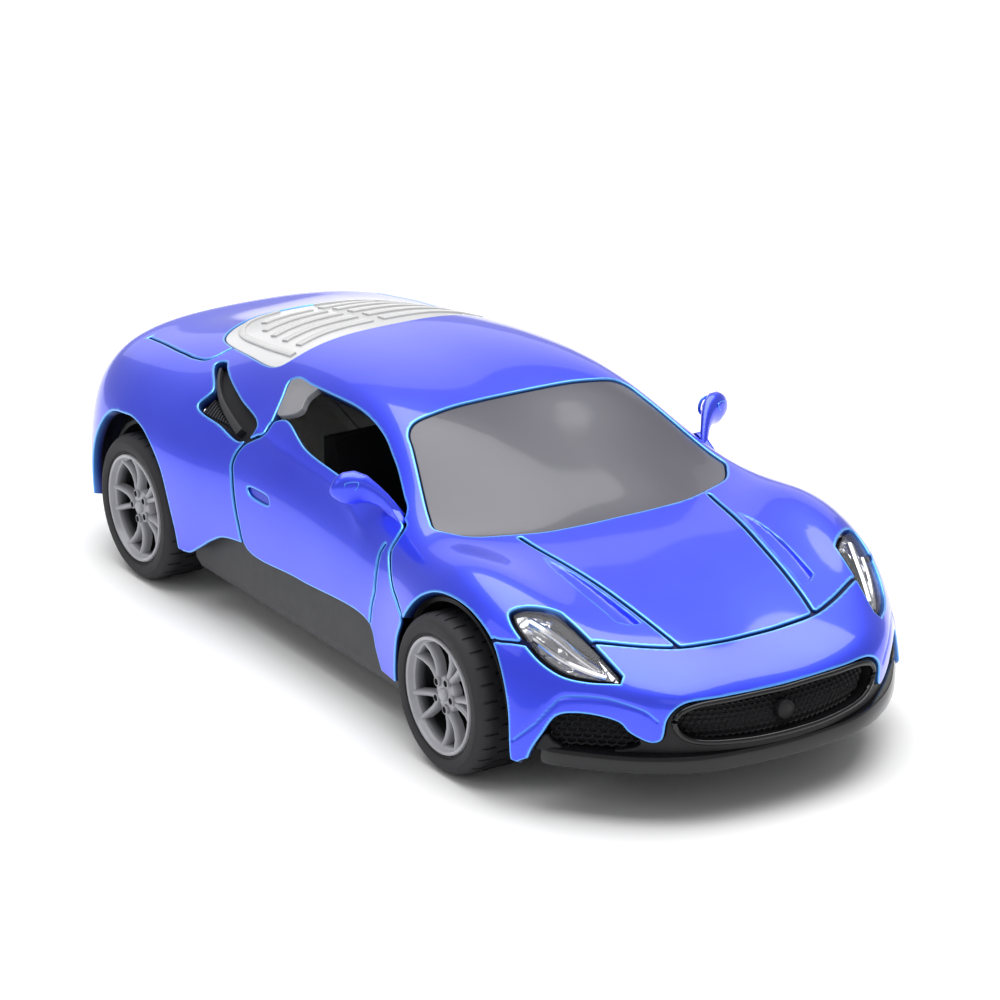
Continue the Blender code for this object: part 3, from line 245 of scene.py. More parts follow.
def cage_surface(uv):
    """Points and outward normals of the body's smooth surface. u runs tail to nose, v right to left."""
    row, along, along_slope = spline_weights(uv[:, 0], ROWS)
    column, across, across_slope = spline_weights(uv[:, 1], COLUMNS)
    point, du, dv = np.zeros((3, len(uv), 3))
    for i in range(4):
        for j in range(4):
            corner = PADDED_CAGE[row + i, column + j]
            point += (along[:, i] * across[:, j])[:, None] * corner
            du += (along_slope[:, i] * across[:, j])[:, None] * corner
            dv += (along[:, i] * across_slope[:, j])[:, None] * corner
    return point, unit(np.cross(du, dv))


def unit(vectors):
    return vectors / np.maximum(np.linalg.norm(vectors, axis=-1, keepdims=True), 1e-12)


def curve_distance(points, curve, closed):
    """How far 2-D points are from a curve, and the unit direction away from it."""
    starts = curve if closed else curve[:-1]
    along = (np.roll(curve, -1, 0) if closed else curve[1:]) - starts
    length = np.maximum((along**2).sum(1), 1e-12)
    distance = np.empty(len(points))
    away = np.empty((len(points), 2))
    for low in range(0, len(points), 4000):
        some = points[low:low + 4000]
        gap = some[:, None] - starts[None]
        share = np.clip((gap * along).sum(2) / length, 0, 1)
        gap -= share[..., None] * along
        square = (gap**2).sum(2)
        nearest = square.argmin(1)
        index = np.arange(len(some))
        distance[low:low + 4000] = np.sqrt(square[index, nearest])
        away[low:low + 4000] = gap[index, nearest]
    return distance, unit(away)


def is_inside(points, curve):
    """Even-odd test of 2-D points in a closed curve."""
    x, y = points.T
    inside = np.zeros(len(points), bool)
    for (ax, ay), (bx, by) in zip(curve, np.roll(curve, -1, 0)):
        if ay != by:
            inside ^= ((ay > y) != (by > y)) & (x < (bx - ax) * (y - ay) / (by - ay) + ax)
    return inside


def outline_distance(outline, points, normals):
    """Distance along the surface from an outline, positive outside it and at most FAR."""
    first, second, through = PLANES[outline.plane]
    low = outline.curve.min(0) - FAR
    high = outline.curve.max(0) + FAR
    flat = points[:, [first, second]]
    depth = points[:, through]
    near = ((flat > low) & (flat < high)).all(1) & (depth > outline.span[0]) & (depth < outline.span[1])
    result = np.full(len(points), FAR)
    if not near.any():
        return result
    distance, away = curve_distance(flat[near], outline.curve, outline.closed)
    lean = (away * normals[near][:, [first, second]]).sum(1)
    distance = distance / np.sqrt(np.maximum(1 - lean**2, 0.03))
    if outline.closed:
        distance = np.where(is_inside(flat[near], outline.curve), -distance, distance)
    result[near] = np.minimum(distance - outline.half_width, FAR)
    return result


def left_side(points, normals):
    """Both sides of the car folded onto its left."""
    fold = np.where(points[:, 1:2] < 0, (1, -1, 1), (1, 1, 1))
    return points * fold, normals * fold


def keeps_out_of(*outlines):
    """A field that is positive outside all the outlines."""
    def field(points, normals):
        points, normals = left_side(points, normals)
        return np.min([outline_distance(outline, points, normals) for outline in outlines], axis=0)
    return field


def keeps_inside(outline, gap, *holes):
    """A field that is positive inside an outline, gap from its edge, and outside the holes."""
    def field(points, normals):
        points, normals = left_side(points, normals)
        kept = -outline_distance(outline, points, normals) - gap
        for hole in holes:
            kept = np.minimum(kept, outline_distance(hole, points, normals))
        return kept
    return field


def base_grid(columns):
    """Triangles of the whole surface, or of the columns given, with coordinates (u, v)."""
    u = np.linspace(0, ROWS - 1, (ROWS - 1) * BASE_STEPS[0] + 1)
    v = np.linspace(*columns, int((columns[1] - columns[0]) * BASE_STEPS[1]) + 1)
    uv = np.stack(np.meshgrid(u, v, indexing="ij"), -1).reshape(-1, 2)
    index = np.arange(len(uv)).reshape(len(u), len(v))
    a, b, c, d = (part.ravel() for part in (index[:-1, :-1], index[1:, :-1], index[1:, 1:], index[:-1, 1:]))
    return uv, np.concatenate([np.stack([a, b, c], 1), np.stack([a, c, d], 1)])


class Patch:
    """Triangles on the surface with a field's value at each point. It keeps where that is positive."""

    def __init__(self, field, columns):
        self.field = field
        self.uv, self.faces = base_grid(columns)
        self.points, self.normals = surface(self.uv)
        self.values = field(self.points, self.normals)

    def add(self, uv):
        first = len(self.uv)
        points, normals = surface(uv)
        self.uv = np.concatenate([self.uv, uv])
        self.points = np.concatenate([self.points, points])
        self.normals = np.concatenate([self.normals, normals])
        self.values = np.concatenate([self.values, self.field(points, normals)])
        return first

    def corner_middles(self):
        return self.points[self.faces].mean(1), self.normals[self.faces].mean(1)

    def drop_outside(self, margin):
        self.faces = self.faces[self.values[self.faces].max(1) > -margin]

    def refine(self, level):
        """Splits the triangles near the field's level, or near a line of the relief, until they are fine."""
        for _ in range(REFINE_ROUNDS):
            corners = self.points[self.faces]
            size = np.linalg.norm(corners - np.roll(corners, 1, 1), axis=2).max(1)
            nearest = np.abs(self.values[self.faces] - level).min(1)
            split = (nearest < 0.65 * size) & (size > FINEST)
            split |= (relief(*self.corner_middles())[1] < 0.8 * size) & (size > FINEST)
            if not split.any():
                return
            self.split(split)
            self.drop_outside(LATER_MARGIN)

    def split(self, chosen):
        """Every edge of the chosen triangles gets a middle point, and their neighbours are split to match."""
        edges = np.stack([self.faces, np.roll(self.faces, -1, 1)], 2)
        edges.sort(axis=2)
        unique, index = np.unique(edges.reshape(-1, 2), axis=0, return_inverse=True)
        index = index.reshape(-1, 3)
        marked = np.zeros(len(unique), bool)
        marked[index[chosen].ravel()] = True
        middle = np.full(len(unique), -1)
        middle[marked] = self.add(self.uv[unique[marked]].mean(1)) + np.arange(marked.sum())
        marks = marked[index]
        middles = middle[index]
        count = marks.sum(1)
        done = [self.faces[count == 0]]
        a, b, c = self.faces[count == 3].T
        p, q, r = middles[count == 3].T
        done += [np.stack(t, 1) for t in ((a, p, r), (p, b, q), (r, q, c), (p, q, r))]
        for turn in range(3):
            turned = np.roll(self.faces, -turn, 1)
            turned_marks = np.roll(marks, -turn, 1)
            turned_middles = np.roll(middles, -turn, 1)
            one = (count == 1) & turned_marks[:, 0]
            a, b, c = turned[one].T
            p = turned_middles[one, 0]
            done += [np.stack(t, 1) for t in ((a, p, c), (p, b, c))]
            two = (count == 2) & turned_marks[:, 0] & turned_marks[:, 1]
            a, b, c = turned[two].T
            p, q = turned_middles[two, 0], turned_middles[two, 1]
            done += [np.stack(t, 1) for t in ((p, b, q), (a, p, q), (a, q, c))]
        self.faces = np.concatenate(done)

    def clip(self, level):
        """Cuts the triangles where the field is level, and drops what is below it."""
        values = self.values - level
        inside = values > 0
        edges = np.stack([self.faces, np.roll(self.faces, -1, 1)], 2).reshape(-1, 2)
        crossing = inside[edges[:, 0]] != inside[edges[:, 1]]
        unique, index = np.unique(np.sort(edges[crossing], axis=1), axis=0, return_inverse=True)
        start, end = values[unique[:, 0]], values[unique[:, 1]]
        share = np.clip(start / (start - end), *CUT_SHARES)[:, None]
        first = self.add(self.uv[unique[:, 0]] * (1 - share) + self.uv[unique[:, 1]] * share)
        self.values[first:] = level
        cuts = np.full(len(edges), -1)
        cuts[crossing] = first + index.reshape(-1)
        cuts = cuts.reshape(-1, 3)
        kept = inside[self.faces]
        count = kept.sum(1)
        done = [self.faces[count == 3]]
        for turn in range(3):
            turned = np.roll(self.faces, -turn, 1)
            turned_kept = np.roll(kept, -turn, 1)
            turned_cuts = np.roll(cuts, -turn, 1)
            one = (count == 1) & turned_kept[:, 0]
            done.append(np.stack([turned[one, 0], turned_cuts[one, 0], turned_cuts[one, 2]], 1))
            two = (count == 2) & turned_kept[:, 0] & turned_kept[:, 1]
            a, b = turned[two, 0], turned[two, 1]
            p, q = turned_cuts[two, 1], turned_cuts[two, 2]
            done += [np.stack([a, b, p], 1), np.stack([a, p, q], 1)]
        self.faces = np.concatenate(done)
        used, faces = np.unique(self.faces, return_inverse=True)
        self.faces = faces.reshape(-1, 3)
        self.uv, self.points, self.normals = self.uv[used], self.points[used], self.normals[used]
        self.values = self.values[used] - level


def line_highlight(patch):
    """How strong the painted highlight is along the lines of the relief."""
    return HIGHLIGHT_STRENGTH * np.exp(-(relief(patch.points, patch.normals)[1] / HIGHLIGHT_WIDTH) ** 2)


def boundary_edges(faces):
    """Directed edges that only one triangle uses."""
    edges = np.stack([faces, np.roll(faces, -1, 1)], 2).reshape(-1, 2)
    _, index, count = np.unique(np.sort(edges, 1), axis=0, return_inverse=True, return_counts=True)
    return edges[count[index.reshape(-1)] == 1]


def panel_arrays(field, inset=0.0, thickness=METAL_THICKNESS, radius=EDGE_RADIUS, columns=(0, COLUMNS - 1)):
    """A piece of the body's surface with rounded edges and a wall all round."""
    patch = Patch(field, columns)
    patch.drop_outside(FIRST_MARGIN)
    patch.refine(radius)
    patch.clip(radius)
    edges = boundary_edges(patch.faces)
    rim, index = np.unique(edges, return_inverse=True)
    ends = index.reshape(-1, 2)
    normals = patch.normals
    outward = np.zeros((len(rim), 3))
    for end in (0, 1):
        np.add.at(outward, ends[:, end], np.cross(patch.points[edges[:, 1]] - patch.points[edges[:, 0]],
                                                  normals[edges[:, end]]))
    outward = unit(outward)
    top = patch.points - normals * inset
    count = len(top)
    points = [top]
    shades = [normals]
    # A painted highlight near the cut and along the relief's lines; the rounding below gets it in full.
    edge = [np.maximum(np.clip(1 - patch.values / HIGHLIGHT_BAND, 0, 1), line_highlight(patch))]
    # Painted shade: none on top, some at the foot of the rounding, and full on the wall and the underside.
    deep = [np.zeros(count)]
    faces = [patch.faces]
    rings = [rim]
    for step in range(1, EDGE_STEPS + 1):
        angle = math.pi / 2 * step / EDGE_STEPS
        points.append(top[rim] + outward * radius * math.sin(angle)
                      - normals[rim] * radius * (1 - math.cos(angle)))
        shades.append(outward * math.sin(angle) + normals[rim] * math.cos(angle))
        edge.append(np.ones(len(rim)))
        deep.append(np.full(len(rim), 0.0 if step < EDGE_STEPS else LIP_SHADE))
        rings.append(count + (step - 1) * len(rim) + np.arange(len(rim)))
    points.append(top[rim] + outward * radius - normals[rim] * thickness)
    shades.append(outward)
    edge.append(np.zeros(len(rim)))
    deep.append(np.ones(len(rim)))
    rings.append(count + EDGE_STEPS * len(rim) + np.arange(len(rim)))
    for upper, lower in zip(rings[:-1], rings[1:]):
        a, b = ends.T
        faces += [np.stack([upper[b], upper[a], lower[a]], 1), np.stack([upper[b], lower[a], lower[b]], 1)]
    inner = count + (EDGE_STEPS + 1) * len(rim)
    points.append(top - normals * thickness)
    shades.append(-normals)
    edge.append(np.zeros(count))
    deep.append(np.ones(count))
    faces.append(patch.faces[:, ::-1] + inner)
    a, b = ends.T
    lower = rings[-1]
    inside = inner + rim
    faces += [np.stack([lower[b], lower[a], inside[a]], 1), np.stack([lower[b], inside[a], inside[b]], 1)]
    return (np.concatenate(points), np.concatenate(faces), np.concatenate(shades),
            {"edge": np.concatenate(edge), "deep": np.concatenate(deep)})


def sheet_arrays(field, inset, columns=(0, COLUMNS - 1), deep=1.0):
    """A thin piece of the body's surface with no rounded rim, used to close grooves and back openings;
    painted shade darkens it.
    """
    patch = Patch(field, columns)
    patch.drop_outside(FIRST_MARGIN)
    patch.refine(0)
    patch.clip(0)
    count = len(patch.points)
    return (patch.points - patch.normals * inset, patch.faces, patch.normals,
            {"edge": np.zeros(count), "deep": np.full(count, deep)})


def joined(*parts):
    """Several sets of arrays as one."""
    points, faces, normals, data, count = [], [], [], {}, 0
    for part in parts:
        points.append(part[0])
        faces.append(part[1] + count)
        normals.append(part[2])
        for name, values in part[3].items():
            data.setdefault(name, []).append(values)
        count += len(part[0])
    return (np.concatenate(points), np.concatenate(faces), np.concatenate(normals),
            {name: np.concatenate(values) for name, values in data.items()})


def mirrored_arrays(part):
    points, faces, normals, data = part
    return points * (1, -1, 1), faces[:, ::-1], normals * (1, -1, 1), data


def mesh_object(name, part, material):
    """An object made of arrays in millimetres."""
    points, faces, normals, data = part
    mesh = bpy.data.meshes.new(name)
    metres = (points + (AXLE_MIDDLE_X, 0, 0)) * MM
    mesh.vertices.add(len(metres))
    mesh.vertices.foreach_set("co", metres.ravel())
    mesh.loops.add(faces.size)
    mesh.loops.foreach_set("vertex_index", faces.ravel())
    mesh.polygons.add(len(faces))
    mesh.polygons.foreach_set("loop_start", np.arange(0, faces.size, 3))
    mesh.polygons.foreach_set("loop_total", np.full(len(faces), 3))
    mesh.update(calc_edges=True)
    mesh.polygons.foreach_set("use_smooth", np.ones(len(faces), bool))
    if normals is None:
        mesh.set_sharp_from_angle(angle=SHARP)
    else:
        mesh.normals_split_custom_set_from_vertices(unit(normals))
    for key, values in data.items():
        mesh.attributes.new(key, "FLOAT", "POINT").data.foreach_set("value", values.astype(np.float32))
    mesh.materials.append(material)
    item = bpy.data.objects.new(name, mesh)
    bpy.context.scene.collection.objects.link(item)
    return item


def place(item, body, slot, *nodes):
    """Gives a piece its body, and hides the CAD nodes that it replaces. The slot is not used."""
    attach(item, body)
    if nodes:
        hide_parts(*nodes)
    return item


def plain(points, faces, deep=0.0, edge=0.0):
    """Points and faces as a part with no set normals."""
    points = np.array(points, float)
    spread = np.ones(len(points))
    return points, np.array(faces, int), None, {"edge": edge * spread, "deep": deep * spread}


def grid_faces(rows, columns, closed_rows=False, closed_columns=False):
    """Triangles of a grid of points stored row after row."""
    index = np.arange(rows * columns).reshape(rows, columns)
    if closed_rows:
        index = np.concatenate([index, index[:1]])
    if closed_columns:
        index = np.concatenate([index, index[:, :1]], axis=1)
    a, b, c, d = (part.ravel() for part in (index[:-1, :-1], index[1:, :-1], index[1:, 1:], index[:-1, 1:]))
    return np.concatenate([np.stack([a, b, c], 1), np.stack([a, c, d], 1)])


def turned(profile, angles, push=None):
    """A closed profile of (radius, y) turned about the Y axis. push(radius, y, angle) changes the radius."""
    profile = np.array(profile, float)
    angle = np.repeat(angles, len(profile))
    radius = np.tile(profile[:, 0], len(angles))
    y = np.tile(profile[:, 1], len(angles))
    if push:
        radius = radius + push(radius, y, angle)
    points = np.stack([radius * np.cos(angle), y, radius * np.sin(angle)], 1)
    return plain(points, grid_faces(len(angles), len(profile), True, True))


def turned_evenly(profile, steps):
    return turned(profile, np.arange(steps) * 2 * math.pi / steps)


def moved(part, offset, side=1):
    """A part mirrored to its side and moved."""
    points, faces, normals, data = part
    if side < 0:
        points = points * (1, -1, 1)
        faces = faces[:, ::-1]
    return points + np.array(offset, float), faces, normals, data


def on_side(part, side):
    """A part of the left side, or its mirror image."""
    return moved(part, (0, 0, 0), side)


def lofted(rings, deep=0.0, edge=0.0):
    """A closed skin through rings of equally many points."""
    rings = np.array(rings, float)
    rows, columns = rings.shape[:2]
    faces = [grid_faces(rows, columns, False, True)]
    last = (rows - 1) * columns
    fan = np.arange(1, columns - 1)
    faces.append(np.stack([np.zeros_like(fan), fan, fan + 1], 1))
    faces.append(np.stack([np.full_like(fan, last), last + fan + 1, last + fan], 1))
    return plain(rings.reshape(-1, 3), np.concatenate(faces), deep, edge)


def tube(path, radius, steps=8, closed=False, deep=0.0, edge=0.0):
    """A round rod along a path."""
    path = np.array(path, float)
    ahead = unit(np.roll(path, -1, 0) - np.roll(path, 1, 0))
    if not closed:
        ahead[0] = unit(path[1] - path[0])
        ahead[-1] = unit(path[-1] - path[-2])
    guide = np.array([0.13, 0.31, 0.94])
    rings = []
    for place_on, direction in zip(path, ahead):
        first = unit(np.cross(direction, guide))
        second = np.cross(direction, first)
        turn = np.arange(steps) * 2 * math.pi / steps
        rings.append(place_on + radius * (np.cos(turn)[:, None] * first + np.sin(turn)[:, None] * second))
    if closed:
        return plain(np.concatenate(rings), grid_faces(len(path), steps, True, True), deep, edge)
    return lofted(rings, deep, edge)


def offset_polygon(outline, distance):
    """A closed outline moved outwards, counter-clockwise or not."""
    ahead = unit(np.roll(outline, -1, 0) - outline)
    behind = np.roll(ahead, 1, 0)
    area = (outline[:, 0] * np.roll(outline[:, 1], -1) - np.roll(outline[:, 0], -1) * outline[:, 1]).sum()
    sign = 1 if area > 0 else -1
    both = ahead + behind
    outward = unit(np.stack([both[:, 1], -both[:, 0]], 1) * sign)
    edge_outward = np.stack([ahead[:, 1], -ahead[:, 0]], 1)
    miter = np.clip((outward * edge_outward * sign).sum(1), 0.5, 1)
    return outline + outward * (distance / miter)[:, None]


def prism(outline, plane, low, high, bevel=0.15, deep=0.0):
    """A plate with rounded edges, seen along an axis."""
    outline = np.array(outline, float)
    first, second, through = PLANES[plane]
    rings = []
    for inset, level in ((bevel, low), (bevel * 0.3, low + bevel * 0.3), (0, low + bevel),
                         (0, high - bevel), (bevel * 0.3, high - bevel * 0.3), (bevel, high)):
        flat = offset_polygon(outline, -inset)
        ring = np.zeros((len(flat), 3))
        ring[:, first], ring[:, second], ring[:, through] = flat[:, 0], flat[:, 1], level
        rings.append(ring)
    faces = [grid_faces(len(rings), len(outline), False, True)]
    cap = np.array(tessellate_polygon([[Vector((*p, 0)) for p in offset_polygon(outline, -bevel)]]))
    last = (len(rings) - 1) * len(outline)
    faces += [cap, cap[:, ::-1] + last]
    return plain(np.concatenate(rings), np.concatenate(faces), deep)


def plain_joined(*parts):
    """Parts without set normals as one."""
    counts = np.cumsum([0] + [len(part[0]) for part in parts[:-1]])
    data = {key: np.concatenate([part[3][key] for part in parts]) for key in ("edge", "deep")}
    return (np.concatenate([part[0] for part in parts]),
            np.concatenate([part[1] + count for part, count in zip(parts, counts)]), None, data)


def without_normals(part):
    return part[0], part[1], None, part[3]


GRID_STEP = 0.1


class Draping:
    """Finds points of the surface's left half from their coordinates in a side, top or end view."""

    def __init__(self):
        u = np.arange(0, ROWS - 1 + GRID_STEP / 2, GRID_STEP)
        v = np.arange(COLUMNS / 2 - 0.5, COLUMNS - 1 + GRID_STEP / 2, GRID_STEP)
        self.uv = np.stack(np.meshgrid(u, v, indexing="ij"), -1).reshape(-1, 2)
        self.points, self.normals = cage_surface(self.uv)

    def find(self, plane, flat, span, inset):
        """Points on the surface at the flat coordinates, moved inwards, and their normals."""
        first, second, through = PLANES[plane]
        flat = np.array(flat, float)
        allowed = (self.points[:, through] > span[0]) & (self.points[:, through] < span[1])
        spots = self.uv[allowed]
        seen = self.points[allowed][:, [first, second]]
        uv = np.array([spots[((seen - spot) ** 2).sum(1).argmin()] for spot in flat])
        limit = (ROWS - 1, COLUMNS - 1)
        for _ in range(4):
            here, normal = cage_surface(uv)
            step = 0.01
            du = (cage_surface(uv + (step, 0))[0] - here)[:, [first, second]] / step
            dv = (cage_surface(uv + (0, step))[0] - here)[:, [first, second]] / step
            gap = flat - here[:, [first, second]]
            size = du[:, 0] * dv[:, 1] - du[:, 1] * dv[:, 0]
            size = np.where(np.abs(size) < 0.05, 0.05 * np.sign(size + 1e-9), size)
            move = np.stack([gap[:, 0] * dv[:, 1] - gap[:, 1] * dv[:, 0],
                             du[:, 0] * gap[:, 1] - du[:, 1] * gap[:, 0]], 1) / size[:, None]
            uv = np.clip(uv + np.clip(move, -0.15, 0.15), 0, np.array(limit) - 0.011)
        here, normal = cage_surface(uv)
        return here - normal * inset, normal


draping = Draping()


def draped_tube(line, plane, span, radius, inset):
    """A round rod laid along the surface."""
    path, _ = draping.find(plane, smooth_curve(line, False, 0.5), span, inset)
    return tube(path, radius)


def ribbon(line, plane, span, width, inset, height):
    """A flat bar with rounded corners laid along the surface."""
    curve = smooth_curve(line, False, 0.5)
    path, normals = draping.find(plane, curve, span, inset)
    ahead = np.gradient(path, axis=0)
    across = unit(np.cross(ahead, normals))
    widths = np.interp(np.linspace(0, 1, len(path)), np.linspace(0, 1, len(width)), width) / 2
    corner = min(widths.min(), height / 2) * 0.4
    rings = []
    for here, normal, sideways, half in zip(path, normals, across, widths):
        section = ((half, -corner), (half - corner * 0.3, -corner * 0.3), (half - corner, 0),
                   (corner - half, 0), (corner * 0.3 - half, -corner * 0.3), (-half, -corner),
                   (-half, -height), (half, -height))
        rings.append([here + sideways * a + normal * b for a, b in section])
    return lofted(rings)


DOOR = tuple((x, z) for x, y, z, lean in DOOR_EDGE)

# The range of height, width or length that an opening seen along that axis reaches through.
TOP = (14, 60)
SIDE = (10.5, 40)
NOSE = (44, 90)
TAIL = (-90, -47)
HOOD_LINE = ((31.5, 12.9), (35.8, 12.4), (40, 11.8), (45, 11), (50, 10.3), (54.5, 9.6), (57.7, 9))
HOOD_END = ((53.8, 17.3), (56.3, 12.6), (57.7, 9), (58.2, 4), (58.2, -1))
FENDER_LINE = ((45.7, 25.4), (46.4, 25.1), (47.9, 24.2), (49.3, 23.3))
DECK_LINE = ((-51, 26), (-45, 26.7), (-39.5, 27.2), (-36, 27.5), (-33.6, 28), (-32.8, 29))
HANDLE = ((-9.6, 19.8), (-9.2, 20), (-5.4, 20), (-4.9, 19.8), (-4.5, 19.3), (-4.8, 19.1), (-8.4, 19.1),
          (-9.1, 19.3))
DOOR_LINE = ((19.9, 21.5), (19.7, 20.6), (20, 19.3), (20.4, 17.6), (20.6, 16.4), (20.2, 14.8), (19.9, 12.6))
VENT = ((37, 13.2), (37, 13.2), (42.1, 12.2), (47.3, 11.5), (52.8, 10.8), (52.8, 10.8), (52.6, 12.1),
        (51.7, 13.2), (51.7, 13.2), (45, 13.8), (39, 13.7))
BELT_CREASE = ((-13, 25.5), (-9.5, 25.3), (-4, 24.9), (0.8, 24.6), (5.4, 24.3), (10, 23.4), (14, 22.2))
LOWER_CREASE = ((50.4, 8.7), (52.3, 10.8), (53.6, 13), (54.4, 14.2), (56.1, 14.6), (58.8, 14.6),
                (61.6, 13.6), (62.4, 12.5))
RELIEF_STEP = 0.08
VENT_DEPTH = 0.6
VENT_EDGE = 0.3
VENT_START_X = 36
VENT_SLOPE_LENGTH = 14
CREASE_HEIGHT = 0.4
CREASE_REACH = 0.9
CREASE_ROUNDING = 0.04
LOWER_CREASE_DEPTH = 0.14
LOWER_CREASE_WIDTH = 0.3
FLOOR_REACH = 0.3
DOOR_PANEL_THICKNESS = 0.45
DOOR_FLOOR_DEPTH = 0.35
DOOR_FLOOR_SHADE = 0.35

vent = opening(VENT, "xy", TOP)
crease = groove(BELT_CREASE, "xz", (20, 40), 0)
lower_crease = groove(LOWER_CREASE, "xz", (12, 40), 0)


def relief(points, normals):
    """How far the vents and the creases push the surface out, and how far their lines are."""
    points, normals = left_side(points, normals)
    vent_gap = outline_distance(vent, points, normals)
    inside = np.clip(-vent_gap / VENT_EDGE, 0, 1)
    slope = np.clip((points[:, 0] - VENT_START_X) / VENT_SLOPE_LENGTH, 0, 1)
    push = -VENT_DEPTH * slope * inside * inside * (3 - 2 * inside)
    crease_gap = outline_distance(crease, points, normals)
    push += CREASE_HEIGHT * np.exp(-np.sqrt(crease_gap ** 2 + CREASE_ROUNDING) / CREASE_REACH)
    lower_gap = outline_distance(lower_crease, points, normals)
    push -= LOWER_CREASE_DEPTH * np.exp(-(lower_gap / LOWER_CREASE_WIDTH) ** 2)
    return push, np.minimum(np.abs(vent_gap), np.abs(lower_gap))


def surface(uv):
    """The body's surface with its relief."""
    points, normals = cage_surface(uv)
    push, _ = relief(points, normals)
    along = unit(np.cross(normals, (0.13, 0.31, 0.94)))
    across = np.cross(normals, along)
    lean = np.zeros_like(points)
    for direction in (along, across):
        further, _ = relief(points + direction * RELIEF_STEP, normals)
        lean += direction * ((further - push) / RELIEF_STEP)[:, None]
    return points + normals * push[:, None], unit(normals - lean)


# ---------------------------------------------------------------- materials


def new_material(name):
    """A material with a Principled shader, and a quick way to add nodes to it."""
    material = bpy.data.materials.new(name)
    material.use_nodes = True
    tree = material.node_tree
    shader = tree.nodes["Principled BSDF"]

    def node(kind, **settings):
        made = tree.nodes.new(kind)
        for key, value in settings.items():
            if hasattr(made, key):
                setattr(made, key, value)
            else:
                made.inputs[key].default_value = value
        return made

    return material, shader, node, tree.links.new


def noise(node, link, scale, detail=2.0, coordinates=None):
    """Noise in metres of the object's own frame."""
    place = coordinates or node("ShaderNodeTexCoord").outputs["Object"]
    texture = node("ShaderNodeTexNoise", Scale=scale, Detail=detail)
    link(place, texture.inputs["Vector"])
    return texture.outputs["Fac"]


def add_bump(node, link, shader, height, strength, distance):
    bump = node("ShaderNodeBump", Strength=strength, Distance=distance)
    link(height, bump.inputs["Height"])
    link(bump.outputs["Normal"], shader.inputs["Normal"])


def ramp(node, link, value, stops):
    """Colours or greys along a value."""
    made = node("ShaderNodeValToRGB")
    elements = made.color_ramp.elements
    while len(elements) < len(stops):
        elements.new(0.5)
    for element, (place, colour) in zip(elements, stops):
        element.position = place
        element.color = (*colour, 1) if len(colour) == 3 else (colour[0], colour[0], colour[0], 1)
    link(value, made.inputs["Fac"])
    return made.outputs["Color"]


def mixed(node, link, share, first, second):
    made = node("ShaderNodeMix", data_type="RGBA")
    link(share, made.inputs["Factor"])
    for socket, value in ((made.inputs[6], first), (made.inputs[7], second)):
        if isinstance(value, tuple):
            socket.default_value = (*value, 1)
        else:
            link(value, socket)
    return made.outputs[2]


NEARLY_BLACK = (0.006, 0.006, 0.007)
PAINT = (0.029, 0.052, 0.85)
PAINT_LIGHT = (0.045, 0.079, 0.95)
# The paler blue of the painted highlight on rounded edges and lines.
PAINT_HIGHLIGHT = (0.1, 0.38, 1.0)
# The colour of the painted shade deep in the gaps and under the shell.
PAINT_SHADE = (0.004, 0.006, 0.05)
PAINT_DRIFT_SCALE = 45
FLAKE_SCALE = 9000
FLAKE_DEPTH = 0.00002


def make_paint():
    """Blue pearl lacquer over metal, with a brighter, paler painted highlight on rounded edges and dark
    painted shade deep in the gaps.
    """
    material, shader, node, link = new_material("blue_paint")
    broad = ramp(node, link, noise(node, link, PAINT_DRIFT_SCALE, 3), ((0.35, PAINT), (0.7, PAINT_LIGHT)))
    edge = node("ShaderNodeAttribute", attribute_name="edge").outputs["Fac"]
    deep = node("ShaderNodeAttribute", attribute_name="deep").outputs["Fac"]
    colour = mixed(node, link, edge, broad, PAINT_HIGHLIGHT)
    colour = mixed(node, link, deep, colour, PAINT_SHADE)
    link(colour, shader.inputs["Base Color"])
    shader.inputs["Metallic"].default_value = 0.75
    shader.inputs["Roughness"].default_value = 0.36
    link(ramp(node, link, deep, ((0, (0.8,)), (1, (0.0,)))), shader.inputs["Coat Weight"])
    shader.inputs["Coat Roughness"].default_value = 0.06
    flakes = noise(node, link, FLAKE_SCALE, 1)
    add_bump(node, link, shader, flakes, 0.25, FLAKE_DEPTH)
    return material


def make_plastic(name, colour, roughness, grain=4000, depth=0.00002, coat=0.0):
    """Moulded plastic with a fine grain, slight colour drift, and painted shade that turns it nearly black in
    hollows.
    """
    material, shader, node, link = new_material(name)
    darker = tuple(c * 0.92 for c in colour)
    drift = ramp(node, link, noise(node, link, 260, 4), ((0.3, darker), (0.7, colour)))
    deep = node("ShaderNodeAttribute", attribute_name="deep").outputs["Fac"]
    link(mixed(node, link, deep, drift, NEARLY_BLACK), shader.inputs["Base Color"])
    low, high = (max(roughness - 0.03, 0.02),), (min(roughness + 0.03, 1),)
    link(ramp(node, link, noise(node, link, 700, 2), ((0.3, low), (0.7, high))), shader.inputs["Roughness"])
    link(ramp(node, link, deep, ((0, (coat,)), (0.6, (0.0,)))), shader.inputs["Coat Weight"])
    link(ramp(node, link, deep, ((0, (0.3,)), (0.8, (0.03,)))), shader.inputs["Specular IOR Level"])
    add_bump(node, link, shader, noise(node, link, grain, 2), 0.15, depth)
    return material


def make_metal(name, colour, roughness):
    """Bright metal or plating with faint streaks."""
    material, shader, node, link = new_material(name)
    darker = tuple(c * 0.8 for c in colour)
    streaks = ramp(node, link, noise(node, link, 400, 3), ((0.3, darker), (0.7, colour)))
    link(streaks, shader.inputs["Base Color"])
    shader.inputs["Metallic"].default_value = 1.0
    low, high = (roughness * 0.7,), (roughness * 1.4,)
    link(ramp(node, link, noise(node, link, 900, 2), ((0.3, low), (0.7, high))), shader.inputs["Roughness"])
    return material


